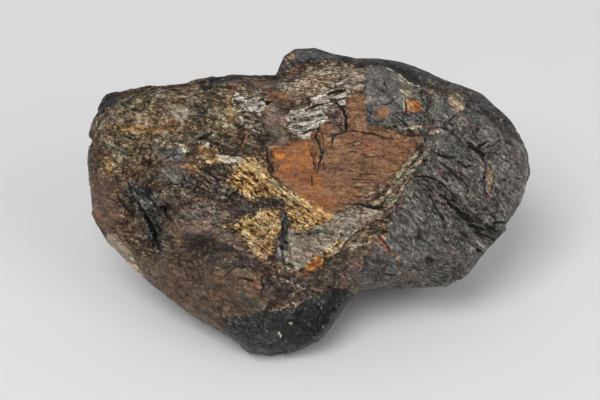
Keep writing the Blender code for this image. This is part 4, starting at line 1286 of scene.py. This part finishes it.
# What each pattern adds to the tone, which runs from 0, the deepest, to 1, the lightest. Glints, edges, the
# folds of foil and the layers add painted highlights; creases, the feet of layers and pinholes add painted
# shade
FOLD_TONE, SMALL_TONE, LEAST_TONE, GRIT_TONE = 0.36, 0.22, 0.20, 0.18
GLINT_TONE, PINHOLE_SHADE_TONE, LARGE_TONE, CLOUD_TONE, EDGE_HIGHLIGHT_TONE = 0.34, -0.22, 0.16, 0.75, 0.16
LAYER_TONE, FOIL_LAYER_TONE, LAYER_FOOT_SHADE = 0.16, 0.22, 1.2
CREASE_SHADE_TONE, FOIL_CREASE_SHADE_TONE, DASH_STRENGTH = 0.33, 0.46, 0.8
PLAIN_TONE, FOIL_TONE = 0.595, 0.67
# Ramps over a pattern, as low and high, and what they give there if that isn't 0 and 1
GLINT_LOTS, GLINT_CLOUDS, PINHOLE_LOTS = (0.86, 0.90), (0.46, 0.56, 0.1, 1.0), (0.08, 0.12, 1.0, 0.0)
FOLD_BEND, DASH_NOISE, CREASE_GRIT = (0.0, 0.13), (0.60, 0.66), (0.3, 0.5, 0.3, 1.0)
RAGGED_BORDER, FACET_BORDER = (0.25, 0.75, -0.42, 0.42), (0.0, 1.0, -0.2, 0.2)
CALM_INSIDE, PATCH_BORDER, PATCH_START = (0.85, 1.0, 1.0, 0.4), (0.38, 0.62), (0.0, 0.25)
TINT_NOISE, HAIRLINE_CLOUDS = (0.48, 0.64), (0.44, 0.54)
# Hollows painted dark as shade: the ramp of their depth, and of their ragged edge
HOLLOW_DARK, HOLLOW_RAGGED = (0.0, 1.0, 0.0, 0.8), (0.35, 0.6, 1.0, 0.35)
LINE_GRIT, LINE_WIDTH, ROUGH_LOTS = (0.3, 0.7, -0.4, 0.4), (0.7, 1.2, 1.0, 0.0), (0.0, 1.0, -0.14, 0.14)
# Thin hairlines' strength; how dark hairlines and cracks are painted as shade; how far lines go to it
THIN_HAIRLINE_STRENGTH, HAIRLINE_DARK, CRACK_DARK, PAINTED_SHADE_SHARE = 0.7, 0.7, 0.75, 0.94
# Heights in the bump, in millimetres
LARGE_BUMP, SMALL_BUMP, LEAST_BUMP, LAYER_BUMP, GRIT_BUMP = 0.6, 1.1, 1.2, 0.4, 0.2
CREASE_BUMP, FOLD_BUMP, LINE_BUMP = -0.22, 0.25, -0.25
# The level of the plain gloss
GLOSS_LEVEL = 0.38


def as_light(tone):
    """A tone from 0 to 255, as the eye sees it, turned into light."""
    parts = [part / 255 for part in tone]
    return [part / 12.92 if part < 0.04045 else ((part + 0.055) / 1.055) ** 2.4 for part in parts] + [1]


class Finish:
    """A material's nodes, added one by one; an input takes a plain value or another node's output."""

    def __init__(self, name):
        self.material = bpy.data.materials.new(name)
        self.material.use_nodes = True
        self.tree = self.material.node_tree
        self.surface = self.tree.nodes["Principled BSDF"]

    def add(self, kind, inputs, **settings):
        node = self.tree.nodes.new(kind)
        for setting, value in settings.items():
            setattr(node, setting, value)
        for key, value in inputs.items():
            self.feed(node.inputs[key], value)
        return node

    def feed(self, socket, value):
        if isinstance(value, bpy.types.NodeSocket):
            self.tree.links.new(value, socket)
        else:
            socket.default_value = value

    def put(self, operation, a, b=0.0):
        """One step of arithmetic."""
        return self.add("ShaderNodeMath", {0: a, 1: b}, operation=operation).outputs[0]

    plus = partialmethod(put, "ADD")
    minus = partialmethod(put, "SUBTRACT")
    times = partialmethod(put, "MULTIPLY")
    larger = partialmethod(put, "MAXIMUM")

    def centred(self, value):
        """A value from 0 to 1 made to run evenly about nought."""
        return self.minus(value, 0.5)

    def total(self, *parts):
        """The sum of some values, each times its part."""
        total = 0.0
        for value, part in parts:
            total = self.plus(total, self.times(value, part))
        return total

    def put_ways(self, operation, a, b):
        """Two vectors put together into a third, or into one number for a dot product."""
        node = self.add("ShaderNodeVectorMath", {0: a, 1: b}, operation=operation)
        return node.outputs["Value" if operation == "DOT_PRODUCT" else "Vector"]

    def ramp(self, value, low, high, least=0.0, most=1.0):
        inputs = {"Value": value, "From Min": low, "From Max": high, "To Min": least, "To Max": most}
        return self.add("ShaderNodeMapRange", inputs, interpolation_type="SMOOTHSTEP").outputs[0]

    def mix(self, share, a, b, blend_type="MIX"):
        inputs = {0: share, 6: a, 7: b}
        return self.add("ShaderNodeMix", inputs, data_type="RGBA", blend_type=blend_type).outputs[2]

    def between(self, share, a, b):
        return self.add("ShaderNodeMix", {0: share, 2: a, 3: b}, data_type="FLOAT").outputs[0]

    def share(self, name):
        return self.add("ShaderNodeAttribute", {}, attribute_name=name).outputs["Fac"]

    def along_grain(self, slope, longer):
        """Object coordinates in millimetres along a grain of the broad face, drawn out lengthwise."""
        right, up, out = (Vector(axis) for axis in face_axes())
        rotation = Matrix((*turned(right, up, slope), out)).transposed().to_euler("XYZ")
        place = self.add("ShaderNodeTexCoord", {}).outputs["Object"]
        inputs = {"Vector": place, "Rotation": rotation, "Scale": (longer * MM, MM, MM)}
        return self.add("ShaderNodeMapping", inputs, vector_type="TEXTURE").outputs[0]

    def noise(self, place, size, detail, rough, output="Fac"):
        inputs = {"Vector": place, "Scale": 1 / size, "Detail": detail, "Roughness": rough}
        return self.add("ShaderNodeTexNoise", inputs).outputs[output]

    def facets(self, place, size):
        """Flat facets, each with its own tilt: height in millimetres, and two random numbers for each."""
        cell = self.add("ShaderNodeTexVoronoi", {"Vector": place, "Scale": 1 / size}, feature="F1")
        gap = self.put_ways("SUBTRACT", place, cell.outputs["Position"])
        tilt = self.put_ways("SUBTRACT", cell.outputs["Color"], (0.5, 0.5, 0.5))
        lots = self.add("ShaderNodeSeparateColor", {"Color": cell.outputs["Color"]}).outputs
        step = self.times(lots["Green"], FACET_STEP * size)
        return self.plus(self.put_ways("DOT_PRODUCT", gap, tilt), step), lots["Green"], lots["Blue"]

    def hairlines(self, place, size, width):
        """Thin lines where facets meet, from 0 to 1."""
        inputs = {"Vector": place, "Scale": 1 / size}
        gap = self.add("ShaderNodeTexVoronoi", inputs, feature="DISTANCE_TO_EDGE").outputs["Distance"]
        return self.ramp(gap, 0.0, width / size, 1.0, 0.0)

    def creases(self, place, size, width):
        """Winding thin lines where a rough noise passes its middle, from 0 to 1."""
        gap = self.put("ABSOLUTE", self.centred(self.noise(place, size, *CREASE_DETAIL)))
        return self.ramp(gap, 0.25 * width, width, 1.0, 0.0)

    def thin_layers(self, place, size):
        """Thin broken layers across the grain: height from 0 to 1, and each lip's foot, painted dark as
        shade.

        A layer's number is the whole part of the place across the grain, in layers, plus a slow roll.
        """
        spot = self.add("ShaderNodeSeparateXYZ", {"Vector": place}).outputs
        roll = self.times(self.noise(place, THIN_ROLL_LENGTH * size, *ROLL_DETAIL), THIN_ROLL)
        level = self.plus(self.times(spot["Y"], 1 / size), roll)
        part = self.put("FRACT", level)
        along = self.times(spot["X"], 1 / (THIN_LIP_LENGTH * size))
        inputs = {"X": along, "Y": self.times(self.put("FLOOR", level), LAYER_SHIFT)}
        own = self.add("ShaderNodeCombineXYZ", inputs).outputs[0]
        lip = self.ramp(self.noise(own, 1.0, 1.0, 0.5), *THIN_LIP_NOISE)
        rise = self.times(part, 1 / THIN_RISE)
        fall = self.times(self.minus(1.0, part), 1 / (1 - THIN_RISE))
        foot = self.times(lip, self.ramp(part, 0.0, THIN_RISE, 1.0, 0.0))
        return self.times(lip, self.put("MINIMUM", rise, fall)), foot


class OreFinish(Finish):
    """The ore: patterns finer than the net, mottled tones laid over one another, dark lines, and a bump."""

    def __init__(self):
        super().__init__("ore")
        self.shares = {name: self.share(name) for name in (*PATCHES, *CORNER_VALUES)}
        self.find_kinds()
        self.find_place()
        self.draw_facets()
        self.draw_creases()

    def find_kinds(self):
        """How much of each kind of rock there is, and how much of the relief and fine patterns is left."""
        shares = self.shares
        self.dark = self.larger(shares["charcoal"], shares["black"])
        self.foil = self.larger(shares["gold"], shares["silver"])
        self.matte = self.larger(shares["rust"], shares["orange"])
        unworn = self.between(shares["smooth"], 1.0, WORN_BUSY)
        self.fine = self.times(unworn, self.between(self.larger(shares["slate"], self.dark), 1.0, DARK_FINE))
        self.busy = self.times(unworn, self.between(self.matte, 1.0, MATTE_BUSY))
        self.least_weight = self.between(self.foil, 1.0, FOIL_LEAST)

    def find_place(self):
        """Where a spot is along its own mineral's grain, which changes at once from one to the next."""
        place = self.along_grain(*GRAINS["whole stone"][:2])
        for name, (slope, longer, *_) in GRAINS.items():
            if name in self.shares:
                here = self.put("GREATER_THAN", self.shares[name], 0.5)
                inputs = {0: here, 4: place, 5: self.along_grain(slope, longer)}
                place = self.add("ShaderNodeMix", inputs, data_type="VECTOR").outputs[1]
        shaken = self.put_ways("SUBTRACT", self.noise(place, *GRAIN_SHAKE, "Color"), (0.5, 0.5, 0.5))
        self.place = self.put_ways("ADD", place, self.put_ways("MULTIPLY", shaken, (SHAKE_REACH,) * 3))

    def draw_facets(self):
        """Facets, thin layers, clouds and grit. A few of the least facets get a painted glint, a highlight in
        their tone, and a few are painted dark as the shade in pinholes.
        """
        rock = self.along_grain(0.0, 1.0)
        self.large, self.large_own, _ = self.facets(self.place, LARGE_FACET)
        self.small, self.small_own, _ = self.facets(self.place, SMALL_FACET)
        self.least, self.least_own, lot = self.facets(rock, LEAST_FACET)
        self.layer, self.foot = self.thin_layers(self.place, THIN_LAYER)
        self.cloud = self.noise(self.place, *CLOUDS)
        self.grit = self.noise(rock, *GRIT)
        self.ragged = self.noise(self.place, *RAGGED)
        glint = self.times(self.ramp(lot, *GLINT_LOTS), self.ramp(self.cloud, *GLINT_CLOUDS))
        self.glint = self.times(glint, self.between(self.matte, 1.0, MATTE_GLINTS))
        self.pinhole = self.ramp(lot, *PINHOLE_LOTS)

    def draw_creases(self):
        """Creases and dashes along the grain, soft folds for foil, and hairlines. Creases, dashes and
        hairlines are painted dark as shade; the folds paint highlights on their crests and shade between
        them.
        """
        drawn = self.put_ways("MULTIPLY", self.place, DRAWN_OUT)
        short = self.creases(self.put_ways("ADD", drawn, CREASE_SHIFT), *SHORT_CREASES)
        dash = self.ramp(self.noise(self.put_ways("ADD", drawn, DASH_SHIFT), *DASHES), *DASH_NOISE)
        crease = self.larger(self.creases(drawn, *LONG_CREASES), short)
        crease = self.larger(crease, self.times(dash, DASH_STRENGTH))
        crease = self.times(crease, self.ramp(self.grit, *CREASE_GRIT))
        self.crease = self.times(crease, self.between(self.matte, 1.0, MATTE_CREASES))
        fold = self.noise(self.put_ways("ADD", drawn, FOLD_SHIFT), *SOFT_FOLDS)
        self.fold = self.ramp(self.put("ABSOLUTE", self.centred(fold)), *FOLD_BEND)
        thin = self.times(self.hairlines(self.place, *THIN_HAIRLINES), THIN_HAIRLINE_STRENGTH)
        hair = self.larger(self.hairlines(self.place, *WIDE_HAIRLINES), thin)
        self.hair = self.times(self.times(hair, self.ramp(self.cloud, *HAIRLINE_CLOUDS)), self.busy)

    def mottled_tone(self):
        """One tone over the whole stone for each mineral's ramp: what patterns add, painted highlights and
        shade among them.
        """
        fine = self.total(
            (self.times(self.centred(self.fold), self.foil), FOLD_TONE),
            (self.centred(self.small_own), SMALL_TONE),
            (self.centred(self.between(self.least_weight, 0.5, self.least_own)), LEAST_TONE),
            (self.centred(self.grit), GRIT_TONE),
            (self.glint, GLINT_TONE),
            (self.pinhole, PINHOLE_SHADE_TONE),
        )
        leaved = self.larger(self.foil, self.shares["fibrous"])
        layered = self.plus(LAYER_TONE, self.times(leaved, FOIL_LAYER_TONE))
        layered = self.times(layered, self.between(self.matte, 1.0, MATTE_LAYERS))
        broad = self.times(self.minus(self.layer, self.times(self.foot, LAYER_FOOT_SHADE)), layered)
        broad = self.plus(broad, self.times(self.centred(self.large_own), LARGE_TONE))
        dark = self.times(self.crease, self.between(self.foil, CREASE_SHADE_TONE, FOIL_CREASE_SHADE_TONE))
        tone = self.total((fine, self.fine), (self.minus(broad, dark), self.busy))
        clouds = self.total((self.centred(self.cloud), CLOUD_TONE), (self.shares["edge"], EDGE_HIGHLIGHT_TONE))
        return self.plus(self.plus(tone, clouds), self.between(self.foil, PLAIN_TONE, FOIL_TONE))

    def lay_minerals(self):
        """Each mineral's tones laid over the last where its share and a ragged edge allow."""
        tone = self.mottled_tone()
        border = self.plus(self.ramp(self.ragged, *RAGGED_BORDER), self.ramp(self.small_own, *FACET_BORDER))
        colour, roughness, metal = None, None, None
        for name, (deep, middle, light, rough, metallic) in FINISHES.items():
            tones = self.add("ShaderNodeValToRGB", {"Fac": tone})
            stops = tones.color_ramp.elements
            stops[0].position, stops[0].color = DEEP_STOP, as_light(deep)
            stops[1].color = as_light([(part + bright) / 2 for part, bright in zip(light, GLINT)])
            stops.new(MIDDLE_STOP).color = as_light(middle)
            stops.new(LIGHT_STOP).color = as_light(light)
            if colour is None:
                colour, roughness, metal = tones.outputs[0], rough, metallic
                continue
            share = self.shares[name]
            edge = self.plus(share, self.times(border, self.ramp(share, *CALM_INSIDE)))
            here = self.times(self.ramp(edge, *PATCH_BORDER), self.ramp(share, *PATCH_START))
            colour = self.mix(here, colour, tones.outputs[0])
            roughness = self.between(here, roughness, rough)
            metal = self.between(here, metal, metallic)
        return colour, roughness, metal

    def place_for(self, number, start, step):
        """The place along the grain plus the start and a number of steps."""
        return self.put_ways("ADD", self.place, [first + number * more for first, more in zip(start, step)])

    def strew(self, colour):
        """Faint tints and chance flecks over the minerals."""
        for number, (tint, size, strength) in enumerate(TINTS):
            shifted = self.place_for(number, TINT_START, TINT_STEP)
            here = self.ramp(self.noise(shifted, size, *TINT_DETAIL), *TINT_NOISE, 0.0, strength)
            here = self.times(here, self.between(self.larger(self.foil, self.matte), 1.0, PLAIN_TINTS))
            here = self.times(here, self.between(self.shares["smooth"], 1.0, WORN_TINTS))
            colour = self.mix(here, colour, as_light(tint), "COLOR")
        for number, (fleck, size, low, high, strength) in enumerate(FLECKS):
            shifted = self.place_for(number, FLECK_START, FLECK_STEP)
            here = self.ramp(self.noise(shifted, size, *FLECK_DETAIL), low, high, 0.0, strength)
            here = self.times(here, self.fine)
            here = self.times(here, self.between(self.larger(self.dark, self.matte), 1.0, PLAIN_FLECKS))
            colour = self.mix(here, colour, as_light(fleck))
        return colour

    def blacken(self, colour):
        """Painted shade: dark hollows, then the black of cracks, hairlines and gaps between strands."""
        shares = self.shares
        deep = self.times(self.ramp(shares["hollow"], *HOLLOW_DARK), self.ramp(self.ragged, *HOLLOW_RAGGED))
        colour = self.mix(deep, colour, as_light(PAINTED_SHADE))
        side = self.plus(self.put("ABSOLUTE", shares["line_side"]), self.ramp(self.grit, *LINE_GRIT))
        self.line = self.times(self.ramp(side, *LINE_WIDTH), shares["line_near"])
        black = self.larger(self.line, self.times(self.hair, HAIRLINE_DARK))
        black = self.larger(black, self.times(shares["crack"], CRACK_DARK))
        return self.mix(self.times(black, PAINTED_SHADE_SHARE), colour, as_light(PAINTED_SHADE))

    def bump(self):
        """The patterns' heights, and grooves for the lines."""
        height = self.total(
            (self.large, LARGE_BUMP),
            (self.small, SMALL_BUMP),
            (self.times(self.least, self.least_weight), LEAST_BUMP),
            (self.layer, LAYER_BUMP),
            (self.grit, GRIT_BUMP),
            (self.crease, CREASE_BUMP),
            (self.times(self.fold, self.foil), FOLD_BUMP),
        )
        height = self.total((height, self.busy), (self.larger(self.hair, self.line), LINE_BUMP))
        return self.add("ShaderNodeBump", {"Strength": 1.0, "Distance": MM, "Height": height}).outputs[0]


def ore_finish():
    """Each mineral's own mottled tones, roughness and metal, with black lines and a fine bump."""
    ore = OreFinish()
    colour, roughness, metal = ore.lay_minerals()
    ore.feed(ore.surface.inputs["Base Color"], ore.blacken(ore.strew(colour)))
    roughness = ore.plus(roughness, ore.ramp(ore.least_own, *ROUGH_LOTS))
    ore.feed(ore.surface.inputs["Roughness"], roughness)
    ore.feed(ore.surface.inputs["Metallic"], metal)
    ore.surface.inputs["Specular IOR Level"].default_value = GLOSS_LEVEL
    ore.feed(ore.surface.inputs["Normal"], ore.bump())
    return ore.material


# The floor's half side in metres and its cells, its faint clouds, the two greys between them, and its
# roughness
FLOOR_REACH, FLOOR_CELLS = 4.0, 8
FLOOR_CLOUDS = (60.0, 2.0, 0.6)
FLOOR_GREYS, FLOOR_ROUGHNESS = (0.70, 0.72), 0.9
# Soft lights: place and side in metres, and power in watts; then the strength of the light from all round
KEY_LIGHT = ((-0.6, -1.4, 2.0), 1.3, 43.0)
FILL_LIGHT = ((1.4, -1.3, 1.2), 1.4, 12.5)
ROUND_LIGHT = 0.44


def floor_finish():
    """An almost even pale grey."""
    floor = Finish("floor")
    cloud = floor.noise(floor.along_grain(0.0, 1.0), *FLOOR_CLOUDS)
    greys = [(grey, grey, grey, 1) for grey in FLOOR_GREYS]
    floor.feed(floor.surface.inputs["Base Color"], floor.mix(cloud, *greys))
    floor.surface.inputs["Roughness"].default_value = FLOOR_ROUGHNESS
    return floor.material


def make_floor():
    """A wide flat sheet at the height of the stone's flat spot."""
    side = np.linspace(-FLOOR_REACH, FLOOR_REACH, FLOOR_CELLS + 1)
    across, back = np.meshgrid(side, side, indexing="ij")
    numbers = np.arange(across.size).reshape(across.shape)
    places = np.stack([across, back, 0 * across], -1).reshape(-1, 3)
    mesh = bpy.data.meshes.new("floor")
    mesh.from_pydata(places.tolist(), [], sheet_faces(numbers).tolist())
    mesh.materials.append(floor_finish())
    return placed("floor", mesh)


def soft_box(name, place, side, power):
    """A square of soft light at a place, turned to face the stone's heart."""
    light = bpy.data.lights.new(name, "AREA")
    light.shape = "SQUARE"
    light.size = side
    light.energy = power
    lamp = placed(name, light)
    lamp.location = place
    lamp.rotation_euler = (Vector(HEART) * MM - Vector(place)).to_track_quat("-Z", "Y").to_euler()


def light_studio():
    """Two soft boxes and an even white light from all round."""
    soft_box("key_light", *KEY_LIGHT)
    soft_box("fill_light", *FILL_LIGHT)
    world = bpy.data.worlds.new("studio")
    world.use_nodes = True
    light = world.node_tree.nodes["Background"].inputs
    light["Color"].default_value = (1, 1, 1, 1)
    light["Strength"].default_value = ROUND_LIGHT
    bpy.context.scene.world = world
    bpy.context.scene.view_settings.view_transform = "Standard"


def place_camera():
    """The camera looks straight at the broad face, so it looks down as much as the face leans back."""
    out = Vector(face_axes()[2])
    aim = (Vector(HEART) + Vector(AIM) @ Matrix(face_axes())) * MM
    lens = bpy.data.cameras.new("camera")
    lens.lens, lens.sensor_width = LENS, SENSOR
    camera = placed("camera", lens)
    camera.location = aim + out * CAMERA_DISTANCE * MM
    camera.rotation_euler = (-out).to_track_quat("-Z", "Y").to_euler()
    bpy.context.scene.camera = camera


stone = make_stone()
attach(stone, "root")
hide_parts("iron_ore")
make_floor()
light_studio()
place_camera()
